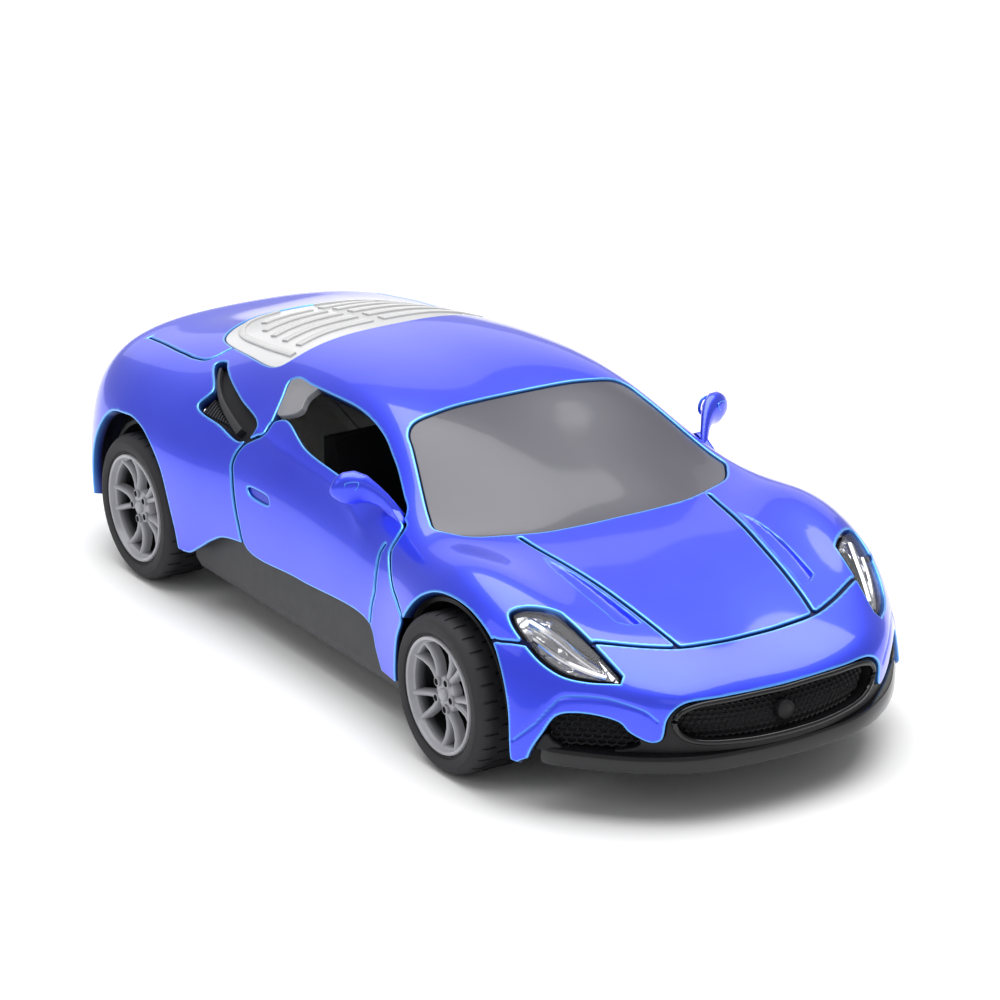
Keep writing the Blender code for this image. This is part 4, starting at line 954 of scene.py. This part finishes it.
def make_glass(name, colour, roughness, clear):
    """Tinted plastic that lets a share of the light straight through."""
    material, shader, node, link = new_material(name)
    pale = tuple(min(c * 1.08, 1) for c in colour)
    drift = ramp(node, link, noise(node, link, 90, 2), ((0.35, colour), (0.65, pale)))
    link(drift, shader.inputs["Base Color"])
    shader.inputs["Roughness"].default_value = roughness
    shader.inputs["Alpha"].default_value = 1 - clear
    shader.inputs["Coat Weight"].default_value = 0.35
    shader.inputs["Coat Roughness"].default_value = 0.05
    return material


PAINT_MATERIAL = make_paint()
SMOKED = make_glass("smoked_window", (0.095, 0.092, 0.115), 0.3, 0.22)
CLEAR = make_glass("clear_plastic", (0.2, 0.2, 0.22), 0.05, 0.85)
CLOUDY = make_glass("cloudy_plastic", (0.3, 0.3, 0.32), 0.15, 0.4)
SILVER = make_plastic("silver_plastic", (0.5, 0.5, 0.5), 0.3, coat=0.4)
SILVER_CLEAR = make_glass("silvery_cover", (0.62, 0.62, 0.63), 0.25, 0.12)
RED = make_glass("red_plastic", (0.5, 0.01, 0.015), 0.15, 0.1)
CHROME = make_metal("chrome", (0.75, 0.75, 0.78), 0.12)
STEEL = make_metal("steel", (0.5, 0.5, 0.52), 0.3)
BLACK_GLOSS = make_plastic("black_gloss", NEARLY_BLACK, 0.2, depth=0.000002, coat=0.25)
DARK_GREY = make_plastic("dark_grey", (0.032, 0.032, 0.035), 0.45)
BLACK = make_plastic("black_plastic", (0.009, 0.009, 0.0105), 0.55)
GREY = make_plastic("grey_plastic", (0.055, 0.055, 0.06), 0.55)
RIM_GREY = make_plastic("rim_plastic", (0.38, 0.38, 0.41), 0.34, coat=0.35)
WHITE = make_plastic("white_plastic", (0.72, 0.71, 0.67), 0.45)
RUBBER = make_plastic("tyre_rubber", (0.028, 0.0275, 0.031), 0.7, 5000, 0.00004)


# ---------------------------------------------------------------- body panels

windscreen = opening(WINDSCREEN, "xy", TOP, True)
cover = opening(ENGINE_COVER, "xy", TOP, True)
headlight = opening(HEADLIGHT, "xy", (14, 40))
window = opening(SIDE_WINDOW, "xz", SIDE)
quarter = opening(QUARTER_WINDOW, "xz", SIDE)
intake = opening(SIDE_INTAKE, "xz", SIDE)
front_arch = opening(FRONT_ARCH, "xz", SIDE)
rear_arch = opening(REAR_ARCH, "xz", SIDE)
skirt = opening(SKIRT_CUT, "xz", SIDE)
door = opening(DOOR, "xz", SIDE)
door_gap = door._replace(half_width=DOOR_GAP)
mouth = opening(MOUTH, "yz", NOSE, True)
tail = opening(TAIL_CUT, "yz", TAIL, True)
tail_light = opening(TAIL_LIGHT, "yz", TAIL)
grooves = [groove(line, "xy", TOP) for line in (HOOD_LINE, HOOD_END)]
grooves.append(groove(FENDER_LINE, "xy", TOP, 0.26))
handle = opening(HANDLE, "xz", SIDE)
door_line = groove(DOOR_LINE, "xz", SIDE, 0.3)
grooves.append(groove(DECK_LINE, "xz", (10, 22), 0.3))

body_field = keeps_out_of(windscreen, cover, headlight, window, intake, front_arch, rear_arch, skirt,
                          door_gap, mouth, tail, tail_light, *grooves)


def groove_floor(points, normals):
    """Positive under the grooves, where a strip closes them from below."""
    points, normals = left_side(points, normals)
    return FLOOR_REACH - np.min([outline_distance(line, points, normals) for line in grooves], axis=0)


# The sheet under the grooves is fully darkened with painted shade.
body_part = joined(panel_arrays(body_field), sheet_arrays(groove_floor, GROOVE_DEPTH))
body = mesh_object("body", body_part, PAINT_MATERIAL)
place(body, "car", "blue_paint", "body_shell")


def door_floor(points, normals):
    """Positive under the handle and the door's line."""
    points, normals = left_side(points, normals)
    return FLOOR_REACH - np.minimum(outline_distance(handle, points, normals),
                                    outline_distance(door_line, points, normals))


half_columns = (COLUMNS / 2, COLUMNS - 1)
door_panel = panel_arrays(keeps_inside(door, 0.05, handle, door_line), thickness=DOOR_PANEL_THICKNESS,
                          columns=half_columns)
# The floor under the handle and the door's line gets some painted shade.
door_part = joined(door_panel, sheet_arrays(door_floor, DOOR_FLOOR_DEPTH, half_columns, DOOR_FLOOR_SHADE))
for side, word in SIDES:
    part = door_part if side > 0 else mirrored_arrays(door_part)
    panel = mesh_object("door_panel_" + word, part, PAINT_MATERIAL)
    place(panel, word + "_door", "blue_paint", "door_" + word)

# Clear pieces set into the body: the gap round each, how far it lies below the surface, its thickness and the
# radius of its edge.
screen = panel_arrays(keeps_inside(windscreen, 0.12), 0.3, 0.8, 0.12)
place(mesh_object("front_window", screen, SMOKED), "car", "smoked_window", "windscreen")
deck = panel_arrays(keeps_inside(cover, 0.1), 0.15, 0.8, 0.15)
place(mesh_object("engine_cover", deck, SILVER_CLEAR), "car", "clear_plastic", "rear_engine_cover")
for name, outline, gap, inset, thickness, material, slot, node_name in (
        ("lamp_lens_", headlight, 0.4, 0.3, 0.5, CLEAR, "clear_plastic", "headlight_lens_"),
        ("rear_quarter_", quarter, 0.1, 0.1, 0.8, CLOUDY, "clear_plastic", "quarter_window_"),
        ("tail_lamp_", tail_light, 0.1, 0.1, 0.8, RED, "red_plastic", "tail_light_")):
    part = panel_arrays(keeps_inside(outline, gap), inset, thickness, 0.15, columns=half_columns)
    for side, word in SIDES:
        arrays = part if side > 0 else mirrored_arrays(part)
        place(mesh_object(name + word, arrays, material), "car", slot, node_name + word)


# ---------------------------------------------------------------- wheels

SPOKE_PAIRS = 5
NUT_CIRCLE = 1.72
NUT_LIFT = 0.16
SPOKE_PHASES = {"front": math.radians(138), "rear": math.radians(113)}
RIM_LOOP = ((6.88, 27.1), (6.78, 27.32), (6.6, 27.38), (6.44, 27.3), (6.36, 27.1), (6.3, 26.8),
            (6.22, 26.6), (6.1, 26.5), (6.02, 25.9), (5.95, 25.2), (5.8, 23), (5.7, 21.4), (0.6, 21.4),
            (0.6, 20.5), (6.88, 20.5))
HUB_LOOP = ((0.05, 26.35), (0.7, 26.35), (1.5, 26.3), (1.95, 26.15), (2.1, 25.9), (2.15, 25.2), (0.05, 25.2))
CAP_LOOP = ((0.05, 26.95), (0.35, 26.92), (0.62, 26.8), (0.76, 26.6), (0.8, 26.3), (0.05, 26.3))
NUT_LOOP = ((0.05, 26.3), (0.36, 26.3), (0.36, 26.44), (0.44, 26.5), (0.54, 26.44), (0.56, 26.2),
            (0.05, 26.2))
# Distance from the hub, angle from the pair's middle, and y of the ridge.
SPOKE_PLACES = ((1.5, 0.02, 26.42), (2.1, 0.08, 26.4), (2.6, 0.13, 26.35), (3.3, 0.17, 26.2),
                (4.2, 0.195, 26.15), (5.2, 0.215, 26.35), (6, 0.23, 26.7), (6.4, 0.235, 26.95))
SPOKE_SECTION = ((-0.4, -1.2), (-0.37, -0.6), (-0.3, -0.22), (-0.16, -0.05), (0, 0), (0.16, -0.05),
                 (0.3, -0.22), (0.37, -0.6), (0.4, -1.2))
TYRE_SIDE = ((6.7, 26.8), (6.9, 27.1), (7.05, 27.2), (7.2, 27.16), (7.26, 27.3), (7.5, 27.42), (7.9, 27.5),
             (8.35, 27.46), (8.4, 27.38), (8.7, 27.22), (8.95, 26.98), (9.12, 26.7), (9.24, 26.4))
TREAD_LOW_Y = 20.4
TREAD_HIGH_Y = 26.1
TREAD_RINGS = 27
SHOULDER_Y = 26.3
BLOCKS = 30
SLOT_DEPTH = 0.14
SLOT_INNER_RADIUS = 9
BLOCK_STEPS = (0, 0.02, 0.15, 0.17, 0.33, 0.5, 0.52, 0.65, 0.67, 0.83)


def tread_push(radius, y, angle):
    """Slots across the shoulders and, shifted by half a block, between them."""
    share = (angle * BLOCKS / (2 * math.pi)) % 1
    outer = (share > 0.01) & (share < 0.16) & (y > 25) & (y < 26.5)
    inner = (share > 0.51) & (share < 0.66) & (y > 22.7) & (y < 24.5)
    far = (share > 0.01) & (share < 0.16) & (y > 20.6) & (y < 22.2)
    return np.where((outer | inner | far) & (radius > SLOT_INNER_RADIUS), -SLOT_DEPTH, 0.0)


def make_spoke(angle, lean):
    rings = []
    for radius, offset, y in SPOKE_PLACES:
        turn = angle + lean * offset
        out = np.array([math.cos(turn), 0, math.sin(turn)])
        across = np.array([-math.sin(turn), 0, math.cos(turn)])
        rings.append([out * radius + across * a + np.array([0, y + b, 0]) for a, b in SPOKE_SECTION])
    return lofted(rings)


def make_rim(phase):
    parts = [turned_evenly(RIM_LOOP, 96), turned_evenly(HUB_LOOP, 48), turned_evenly(CAP_LOOP, 32)]
    barrel = parts[0]
    radius = np.hypot(barrel[0][:, 0], barrel[0][:, 2])
    # Painted shade, darker deeper inside the barrel.
    shade = np.clip((26.55 - barrel[0][:, 1]) / 1.1, 0, 1) ** 0.6
    barrel[3]["deep"] = shade * np.where(radius < 6.2, 0.97, 0)
    for pair in range(SPOKE_PAIRS):
        angle = phase + pair * 2 * math.pi / SPOKE_PAIRS
        parts += [make_spoke(angle, 1), make_spoke(angle, -1)]
        hole = turned_evenly(NUT_LOOP, 20)
        size = np.hypot(hole[0][:, 0], hole[0][:, 2])
        # Painted shade in the nut holes.
        hole[3]["deep"] = np.where(size < 0.4, 0.95, 0.0)
        parts.append(moved(hole, (NUT_CIRCLE * math.cos(angle), NUT_LIFT, NUT_CIRCLE * math.sin(angle))))
    return plain_joined(*parts)


def make_tyre():
    tread = [(9.32 if y < 25.9 else 9.29, y) for y in np.linspace(TREAD_HIGH_Y, TREAD_LOW_Y, TREAD_RINGS)]
    inside = [(9.1, 19.8), (8.6, 19.45), (7.2, 19.5), (6.7, 19.9)]
    start = np.arange(BLOCKS)[:, None]
    angles = ((start + np.array(BLOCK_STEPS)) * 2 * math.pi / BLOCKS).ravel()
    part = turned((*TYRE_SIDE, *tread, *inside), angles, tread_push)
    radius = np.hypot(part[0][:, 0], part[0][:, 2])
    # Painted shade over the tread, and more on the slots' floors.
    tread_shade = np.clip((SHOULDER_Y - part[0][:, 1]) / 1.2, 0, 1)
    slot_floor = (radius < 9.24) & (tread_shade > 0) & (part[0][:, 1] > TREAD_LOW_Y)
    part[3]["deep"] = 0.5 * tread_shade + np.where(slot_floor, 0.15, 0)
    return part


tyre = make_tyre()
for end, x in (("front", AXLE_X), ("rear", -AXLE_X)):
    rim = make_rim(SPOKE_PHASES[end])
    for side, word in SIDES:
        name = f"{end}_{word}"
        centre = (x, 0, AXLE_Z)
        place(mesh_object("wheel_rim_" + name, moved(rim, centre, side), RIM_GREY), end + "_wheels",
              "rim_plastic", "rim_" + name)
        place(mesh_object("wheel_tyre_" + name, moved(tyre, centre, side), RUBBER), end + "_wheels",
              "tyre_rubber", "tyre_" + name)


# ---------------------------------------------------------------- mirrors

# Centre, half thickness fore and aft, and half height.
MIRROR_SECTIONS = (
    ((18.5, 20.8, 23.7), 0.6, 0.6), ((17.7, 21.5, 24.7), 0.6, 0.75), ((16.9, 22.2, 25.6), 0.65, 0.95),
    ((16, 23, 26.3), 0.85, 1.25), ((15.2, 23.9, 26.8), 1.15, 1.75), ((14.6, 24.9, 27), 1.35, 2.05),
    ((14.2, 25.8, 27), 1.3, 1.9), ((14, 26.6, 26.9), 1.05, 1.5), ((13.9, 27.2, 26.8), 0.6, 0.8),
    ((13.9, 27.5, 26.8), 0.15, 0.2))
SAIL = ((14.4, 23.4), (15.4, 24.6), (17.2, 25.4), (18.6, 24.6), (20, 23.6), (19.6, 22.9))
SIGNAL = ((-0.9, 0.95), (0.5, 0.85), (0.25, 0.15), (-0.6, 0.2))
RING_STEPS = 20


def make_mirror():
    rings = []
    centres = np.array([centre for centre, _, _ in MIRROR_SECTIONS])
    for (centre, thick, tall), ahead in zip(MIRROR_SECTIONS, unit(np.gradient(centres, axis=0))):
        forward = unit(np.cross(ahead, (0, 0, 1)))
        forward = forward if forward[0] > 0 else -forward
        upward = unit(np.cross(ahead, forward))
        ring = []
        for step in range(RING_STEPS):
            turn = -step * 2 * math.pi / RING_STEPS
            a, b = math.cos(turn), math.sin(turn)
            ring.append(np.array(centre) + forward * thick * (a if a > 0 else a * 0.7) + upward * tall * b)
        rings.append(ring)
    sail = prism(smooth_curve(SAIL, True, 0.4), "xz", 20.9, 21.9, 0.2)
    glass_edge = [centres[5] + (-0.8, a, b) for a, b in ((-1.3, -0.2), (-0.9, 1.1), (0.6, 1.2), (1.4, 0.1),
                                                        (1, -0.9), (-0.5, -1))]
    # The rim round the glass gets half the painted highlight, and the moulded signal outline gets all of it.
    rim = tube(smooth_curve(glass_edge, True, 0.3), 0.2, 6, True, edge=0.5)
    outline = [centres[6] + (1.36 - 0.53 * a - 0.1 * b, a, b) for a, b in SIGNAL]
    signal = tube(smooth_curve(outline, True, 0.25), 0.07, 5, True, edge=1.0)
    return plain_joined(lofted(rings), sail, rim, signal)


mirror = make_mirror()
for side, word in SIDES:
    part = on_side(mirror, side)
    place(mesh_object("mirror_" + word, part, PAINT_MATERIAL), word + "_door", "blue_paint")


# ---------------------------------------------------------------- nose

GRILLE = ((0, 14), (6, 14.15), (11.2, 14), (12.9, 13.3), (13.5, 12.2), (13, 10.9), (11.6, 9.9), (6, 9.3),
          (0, 9.2))
CORNER_INTAKE = ((16.4, 9.3), (17.4, 10.8), (18.3, 12), (20, 12.6), (21.6, 12.6), (22.7, 12.1),
                 (23.4, 10.8), (23.6, 9.6), (22.8, 8.6), (18, 8.5))
SPLITTER = ((66.2, 0), (65.9, 5), (64.7, 11), (61.4, 16.6), (56.4, 21.4), (52.6, 23.8), (50.9, 21.6),
            (56, 17.5), (59.6, 12), (61, 6), (61.2, 0))
HEX_PITCH = 0.8
HEX_BAR = 0.11
MESH = ((0, 14.2), (12.4, 14.2), (14.2, 12.8), (23, 12.2), (23.8, 9.5), (23.4, 8), (0, 8))
FRONT_SPAN = (46, 90)
INSERT_BOTTOM = 7.9

grille = opening(GRILLE, "yz", NOSE, True)
corner = opening(CORNER_INTAKE, "yz", NOSE)
mouth_field = keeps_inside(mouth, 0.08, grille, corner)


def insert_field(points, normals):
    return np.minimum(mouth_field(points, normals), points[:, 2] - INSERT_BOTTOM)


insert = panel_arrays(insert_field, 0.45, 2, 0.25)
place(mesh_object("nose_insert", insert, BLACK), "car", "black_plastic", "front_insert")


def grille_ring():
    half, _ = draping.find("yz", smooth_curve(GRILLE, False, 0.4), FRONT_SPAN, 0.35)
    return tube(np.concatenate([half, half[-2:0:-1] * (1, -1, 1)]), 0.34, 10, True)


def hex_edges(low, high, pitch):
    """The edges of a honeycomb over a rectangle, each once, as pairs of points."""
    edges = []
    rise = pitch * math.sqrt(3) / 2
    side_length = pitch / math.sqrt(3)
    for row in range(int((high[1] - low[1]) / rise) + 1):
        for column in range(int((high[0] - low[0]) / pitch) + 1):
            y = low[0] + (column + 0.5 * (row % 2)) * pitch
            z = low[1] + row * rise
            top = (y, z + side_length)
            right_top = (y + pitch / 2, z + side_length / 2)
            left_top = (y - pitch / 2, z + side_length / 2)
            right_bottom = (y + pitch / 2, z - side_length / 2)
            edges += [(left_top, top), (top, right_top), (right_top, right_bottom)]
    return np.array(edges)


def honeycomb(outline, low, high, inset):
    """Raised honeycomb bars over the part of the nose inside an outline."""
    edges = hex_edges(low, high, HEX_PITCH)
    grown = offset_polygon(outline.curve, 0.3)
    edges = edges[is_inside(edges[:, 0], grown) & is_inside(edges[:, 1], grown)]
    ends, normals = draping.find("yz", edges.reshape(-1, 2), FRONT_SPAN, inset)
    ends = ends.reshape(-1, 2, 3)
    normals = unit(normals.reshape(-1, 2, 3).mean(1))
    across = unit(np.cross(ends[:, 1] - ends[:, 0], normals)) * HEX_BAR
    down = normals * 0.3
    corners = [ends[:, 0] + across - down, ends[:, 0], ends[:, 0] - across - down,
               ends[:, 1] + across - down, ends[:, 1], ends[:, 1] - across - down]
    points = np.stack(corners, 1).reshape(-1, 3)
    pattern = np.array([(0, 1, 4), (0, 4, 3), (1, 2, 5), (1, 5, 4), (0, 2, 1), (3, 4, 5)])
    faces = (np.arange(len(ends)) * 6)[:, None, None] + pattern
    return plain(points, faces.reshape(-1, 3))


place(mesh_object("mouth_ring", grille_ring(), BLACK_GLOSS), "car", "black_plastic")
centre_net = honeycomb(grille, (0.2, 8.6), (13.9, 14.6), 1.6)
corner_net = honeycomb(corner, (16, 8.2), (24.2, 13), 1.25)
nets = [net for half in (centre_net, corner_net) for net in (half, on_side(half, -1))]
behind_nets = opening(MESH, "yz", FRONT_SPAN, True)
# The backing behind the honeycomb is darkened with painted shade.
backing = without_normals(sheet_arrays(keeps_inside(behind_nets, 0), 1.85, deep=0.6))
net = mesh_object("grille_net", plain_joined(backing, *nets), DARK_GREY)
place(net, "car", "black_plastic", "grille_mesh")

BADGE_LOOP = ((0.01, 0.5), (0.7, 0.46), (0.85, 0.38), (0.95, 0.45), (1.05, 0.4), (1.1, 0.25), (1.1, -0.6),
              (0.01, -0.6))
BADGE_MIDDLE = (64.6, 0, 11.4)
disc = turned_evenly([(r, y + 0.2) for r, y in BADGE_LOOP], 40)
facing_ahead = disc[0][:, [1, 0, 2]]
disc = (facing_ahead + BADGE_MIDDLE, disc[1][:, ::-1], None, disc[3])
place(mesh_object("plain_disc", disc, BLACK), "car", "grey_plastic", "grille_badge")

half = np.array(SPLITTER, float)
outline = np.concatenate([half, half[-2:0:-1] * (1, -1)])
lip = prism(smooth_curve(outline, True, 1.2), "xy", 6.1, 8.4, 0.6)
place(mesh_object("nose_lip", lip, BLACK_GLOSS), "car", "black_plastic", "front_splitter")


# ---------------------------------------------------------------- headlights

BAR_LINE = ((47.6, 21.9), (50.6, 20.7), (53.8, 19.6), (56.2, 18.6))
BAND_LINE = ((49.2, 19.6), (52, 18.9), (55.2, 18))
LOWER_LINE = ((49.2, 22.7), (52.4, 21.4), (55.6, 19.5), (57.2, 18.3))
LAMP_SPAN = (14, 40)


def facets(part, size, seed):
    """Chrome facets: each corner of the sheet moves a little, and the sheet has flat faces."""
    points, faces, normals, _ = part
    rng = np.random.default_rng(seed)
    cell = np.floor(points / size).astype(int)
    keys, index = np.unique(cell, axis=0, return_inverse=True)
    push = rng.uniform(-0.25, 0.25, len(keys))[index.reshape(-1)]
    points = points + normals * push[:, None]
    return points, faces, None, {key: np.zeros(len(points)) for key in ("edge", "deep")}


lamp_back = facets(sheet_arrays(keeps_inside(headlight, 0.6), 1.2, half_columns), 1.1, 5)
# The bucket behind the lamp is darkened with painted shade.
bucket = without_normals(sheet_arrays(keeps_inside(headlight, -0.3), 1.5, half_columns, 0.7))
bar = draped_tube(BAR_LINE, "xy", LAMP_SPAN, 0.5, 1.0)
lower = draped_tube(LOWER_LINE, "xy", LAMP_SPAN, 0.35, 0.9)
band = ribbon(BAND_LINE, "xy", LAMP_SPAN, (0.9, 1.3, 0.9), 0.75, 0.4)
for side, word in SIDES:
    chrome = plain_joined(*(on_side(part, side) for part in (lamp_back, bar, lower)))
    place(mesh_object("lamp_chrome_" + word, chrome, CHROME), "car", "chrome", "headlight_reflector_" + word)
    dark = plain_joined(on_side(band, side), on_side(bucket, side))
    place(mesh_object("lamp_bucket_" + word, dark, DARK_GREY), "car", "grey_plastic")


# ---------------------------------------------------------------- side intakes and windows

INTAKE_SPAN = (10.5, 30)
BLADE = ((-30.7, 28.1), (-27.4, 27.3), (-24, 26.5), (-20, 25.6), (-16.4, 24.8))
RIBS = 13
FIRST_RIB_X = -25.6
RIB_PITCH = 0.62


def intake_ribs():
    ribs = []
    for step in range(RIBS):
        x = FIRST_RIB_X + step * RIB_PITCH
        top = 26.4 - (x - FIRST_RIB_X) * 0.23
        line = ((x, 25), (x - 0.15, (25 + top) / 2), (x - 0.3, top))
        ribs.append(ribbon(line, "xz", INTAKE_SPAN, (0.3, 0.3), 1.15, 0.4))
    return ribs


# The back of the intake is darkened with painted shade.
intake_back = without_normals(sheet_arrays(keeps_inside(intake, -0.25), 1.5, half_columns, 0.5))
blade = ribbon(BLADE, "xz", INTAKE_SPAN, (0.35, 0.5, 0.7, 0.9, 1), 0.55, 0.9)
for side, word in SIDES:
    part = plain_joined(*(on_side(piece, side) for piece in (intake_back, blade, *intake_ribs())))
    insert = mesh_object("intake_blade_" + word, part, DARK_GREY)
    place(insert, "car", "black_plastic", "side_intake_mesh_" + word)


# ---------------------------------------------------------------- engine cover

RAIL = ((-19.4, 13.4), (-27, 13), (-36, 11.4), (-40, 8.4), (-42.6, 2.6))
SLATS = ((-22.5, 11.6), (-26.3, 11.4), (-30.1, 10.9), (-33.9, 10), (-37.7, 8))
COVER_SPAN = (22, 45)


def cover_details():
    """A frame and wide cross slats moulded on top of the silvery cover."""
    frame_bar = ribbon(RAIL, "xy", COVER_SPAN, (0.9, 0.9, 0.7), -0.12, 0.5)
    lines = [((x, 0.8), (x + 0.4, y * 0.55), (x + 1.2, y)) for x, y in SLATS]
    slats = [ribbon(line, "xy", COVER_SPAN, (1.9, 1.7, 1.2), -0.1, 0.5) for line in lines]
    return plain_joined(frame_bar, *slats)


details = cover_details()
details = plain_joined(details, on_side(details, -1))
place(mesh_object("cover_slats", details, SILVER), "car", "clear_plastic")


# ---------------------------------------------------------------- hinge pins and wheel arch liners

# The drawn pins are shorter than the CAD's. Their middle is 0.94 mm from the axis that the door turns about.
PIN_MIDDLE = (21.6, 22.9, 21.7)
PIN_DIRECTION = (0, 0.707, -0.707)
PIN_HALF_LENGTH = 1.1
PIN_RADIUS = 0.45
LINER_LOOP = ((10.3, 18.4), (10.3, 24.6), (10.8, 24.6), (10.8, 22.6), (13.4, 22.6), (13.4, 22.2),
              (10.8, 22.2), (10.8, 17.9), (9.6, 17.9), (9.6, 18.4))
LINER_ENDS = (math.radians(4), math.radians(176))
LINER_STEPS = 40

pin_middle = np.array(PIN_MIDDLE)
pin_reach = np.array(PIN_DIRECTION) * PIN_HALF_LENGTH
pin = tube((pin_middle - pin_reach, pin_middle, pin_middle + pin_reach), PIN_RADIUS, 16)
liner_angles = np.linspace(*LINER_ENDS, LINER_STEPS)
liner = np.array([[(r * math.cos(a), y, r * math.sin(a)) for r, y in LINER_LOOP] for a in liner_angles])
for side, word in SIDES:
    place(mesh_object("hinge_pin_" + word, on_side(pin, side), STEEL), "car", "steel",
          "door_hinge_pin_" + word)
    for end, x in (("front", AXLE_X), ("rear", -AXLE_X)):
        part = moved(lofted(liner), (x, 0, AXLE_Z), side)
        place(mesh_object(f"arch_liner_{end}_{word}", part, BLACK), "car", "black_plastic")


# ---------------------------------------------------------------- carried-over pieces

SLOT_MATERIALS = {
    "black_plastic": BLACK, "grey_plastic": GREY, "rim_plastic": RIM_GREY, "tyre_rubber": RUBBER,
    "white_plastic": WHITE, "clear_plastic": CLEAR, "smoked_window": SMOKED, "steel": STEEL,
    "chrome": CHROME, "red_plastic": RED, "blue_paint": PAINT_MATERIAL}
node_slots = {subpart["node"]: subpart["material_slot"] for subpart in frame["record"]["subparts"]}

for name, item in frame["nodes"].items():
    if not item.hide_render:
        for place_in in item.material_slots:
            place_in.material = SLOT_MATERIALS[node_slots[name]]


# ---------------------------------------------------------------- scene

# The camera's angles, target, distance, lens and shifts were fitted to the photo.
CAMERA_AZIMUTH = math.radians(-31.497)
CAMERA_ELEVATION = math.radians(20.318)
CAMERA_ROLL = math.radians(-0.822)
CAMERA_TARGET = (0.492, 1.707, 13.254)
CAMERA_DISTANCE = 530.258
CAMERA_LENS = 157.75
CAMERA_SHIFT = (0.0128, 0.0196)
FLOOR_HALF_WIDTH = 4.0
WORLD_STRENGTH = 0.45


def add_area(name, place, target, size, power, colour=(1, 1, 1)):
    light = bpy.data.lights.new(name, "AREA")
    light.shape = "RECTANGLE"
    light.size, light.size_y = size
    light.energy = power
    light.color = colour
    item = bpy.data.objects.new(name, light)
    item.location = place
    item.rotation_euler = (Vector(target) - Vector(place)).to_track_quat("-Z", "Y").to_euler()
    bpy.context.scene.collection.objects.link(item)


def make_stage():
    mesh = bpy.data.meshes.new("floor")
    half = FLOOR_HALF_WIDTH
    corners = [(-half, -half, 0), (half, -half, 0), (half, half, 0), (-half, half, 0)]
    mesh.from_pydata(corners, [], [(0, 1, 2, 3)])
    floor = bpy.data.objects.new("floor", mesh)
    bpy.context.scene.collection.objects.link(floor)
    material, shader, node, link = new_material("floor")
    link(ramp(node, link, noise(node, link, 3, 2), ((0.3, (0.86, 0.86, 0.86)), (0.7, (0.9, 0.9, 0.9)))),
         shader.inputs["Base Color"])
    shader.inputs["Roughness"].default_value = 0.6
    mesh.materials.append(material)


def make_camera():
    level = math.cos(CAMERA_ELEVATION)
    back = Vector((level * math.cos(CAMERA_AZIMUTH), level * math.sin(CAMERA_AZIMUTH),
                   math.sin(CAMERA_ELEVATION)))
    x, y, z = CAMERA_TARGET
    target = Vector((x + AXLE_MIDDLE_X, y, z)) * MM
    data = bpy.data.cameras.new("camera")
    data.sensor_width = 36
    data.lens = CAMERA_LENS
    data.shift_x, data.shift_y = CAMERA_SHIFT
    data.clip_start = 0.01
    camera = bpy.data.objects.new("camera", data)
    turn = back.to_track_quat("Z", "Y").to_matrix() @ Matrix.Rotation(CAMERA_ROLL, 3, "Z")
    camera.matrix_world = Matrix.Translation(target + back * CAMERA_DISTANCE * MM) @ turn.to_4x4()
    bpy.context.scene.collection.objects.link(camera)
    bpy.context.scene.camera = camera


def make_light():
    world = bpy.data.worlds.new("studio")
    world.use_nodes = True
    world.node_tree.nodes["Background"].inputs["Color"].default_value = (1, 1, 1, 1)
    world.node_tree.nodes["Background"].inputs["Strength"].default_value = WORLD_STRENGTH
    bpy.context.scene.world = world
    bpy.context.scene.view_settings.view_transform = "Standard"
    add_area("overhead", (-0.1, 0.1, 1.3), (0, 0, 0), (1.6, 1.6), 30)
    add_area("front", (0.9, -0.2, 0.5), (0, 0, 0.01), (0.4, 0.3), 0.2)
    add_area("backdrop", (-1, 0.6, 0.5), (0, 0, 0.01), (1.1, 0.6), 1.2)
    add_area("left_wall", (-0.1, -0.9, 0.6), (0, 0, 0.01), (0.5, 0.3), 0.6)


make_stage()
make_camera()
make_light()
